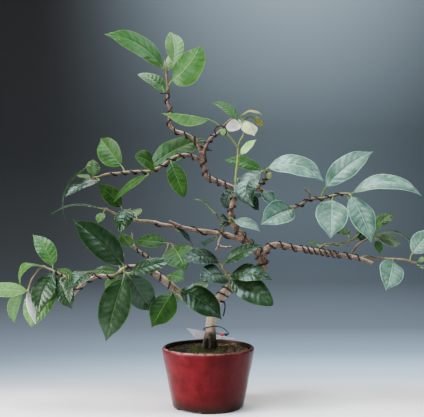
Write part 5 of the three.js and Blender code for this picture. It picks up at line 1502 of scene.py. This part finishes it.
# %% [markdown]
# A thin tie goes once round the trunk above the soil. Its ends meet in a small black cap, and a short red
# sleeve sits on it. Both are soft plastic tubes with rounded ends: a profile spun about Z and then laid
# along the wire.

# %% The tie
TIE_RADIUS = 0.5
TIE_ROUTE = [
    (19.6, 78.3, -4), (15.5, 78.65, -4), (12, 79, -4), (9.7, 79.8, 2.4), (5, 81.5, 8.6), (-2, 83, 7),
    (-5.2, 84.5, 0), (-1.6, 86, -6.6), (4.5, 87, -7.8), (8.9, 87.3, -4.8), (13, 86.8, -4), (17, 85, -4),
    (20.8, 81.8, -4), (22.6, 79.4, -4), (21.6, 78.4, -4), (20.6, 78.4, -4),
]
BORE_CLEARANCE = 0.15
TUBE_STEPS = 32


def plastic(name, low, high, roughness):
    return worn_finish(name, {"Roughness": roughness, "IOR": 1.5}, [(0.35, low), (0.7, high)], 2.5, 0.05)


def tube(name, start, end, radius, finish, node):
    start, end = seen(start), seen(end)
    long = (end - start).length / MM
    bore = TIE_RADIUS + BORE_CLEARANCE
    ring = [(bore, 0), (radius - 0.3, 0), (radius - 0.08, 0.1), (radius, 0.35), (radius, long / 2)]
    profile = ring + [(size, long - height) for size, height in reversed(ring[:-1])]
    shape = spun_profile(profile + profile[:1], TUBE_STEPS)
    bmesh.ops.recalc_face_normals(shape, faces=shape.faces[:])
    turn = (end - start).to_track_quat("Z", "Y").to_matrix().to_4x4()
    bmesh.ops.transform(shape, matrix=Matrix.Translation(start) @ turn, verts=shape.verts[:])
    finished(name, shape, [finish], [node])


tie = bmesh.new()
add_rods(tie, [smooth_route([(seen(row), TIE_RADIUS * MM) for row in TIE_ROUTE], 6)], WIRE_SIDES)
finished("thin_tie", tie, [wire_finish], ["tie_wire"])
red_plastic = plastic("red vinyl sleeve", "b8434d", "e0707a", 0.4)
black_plastic = plastic("black vinyl cap", "121214", "26262a", 0.4)
tube("red_tube", (17.5, 78.5, -4), (13.4, 78.84, -4), 2, red_plastic, "tie_sleeve")
tube("black_tube", (21.2, 78.3, -4), (18.2, 78.4, -4), 1.6, black_plastic, "tie_cap")

# %% [markdown]
# The blank label and the net over the drain hole have the right shape in the plain model, so they stay and
# only get their finishes: a white plastic greyed to a dull, pale grey as painted shade and splashed near the
# soil, and a dull dark plastic.

# %% The label and the net
SPLASH_TOP = 66
SPLASH_FULL = 56


def label_plastic():
    made, tree, shader = new_finish("weathered white plastic", {"Roughness": 0.5, "IOR": 1.5})
    where = add_node(tree, "TexCoord", output="Object")
    height = add_node(tree, "SeparateXYZ", (), [where], "Z")
    low = add_node(tree, "MapRange", (), [height, SPLASH_TOP * MM, SPLASH_FULL * MM])
    splash = add_node(tree, "Math", PRODUCT, [low, spots(tree, 1.5)])
    # Painted shade: the white plastic is greyed to a dull, pale grey.
    white = add_node(tree, "ValToRGB", {"stops": [(0.35, "a4a9ae"), (0.7, "c2c6c8")]}, [spots(tree, 8, 4.0)])
    set_surface(tree, shader, layered(tree, white, (splash, "6b5c48")), spots(tree, 1, 2.0), 0.04)
    return made


def dress(node, finish):
    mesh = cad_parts[node].data
    mesh.materials.clear()
    mesh.materials.append(finish)
    print(node, "keeps its shape")


dress("label", label_plastic())
dress("drain_net", plastic("dark polyethylene net", "1d2022", "34383a", 0.6))
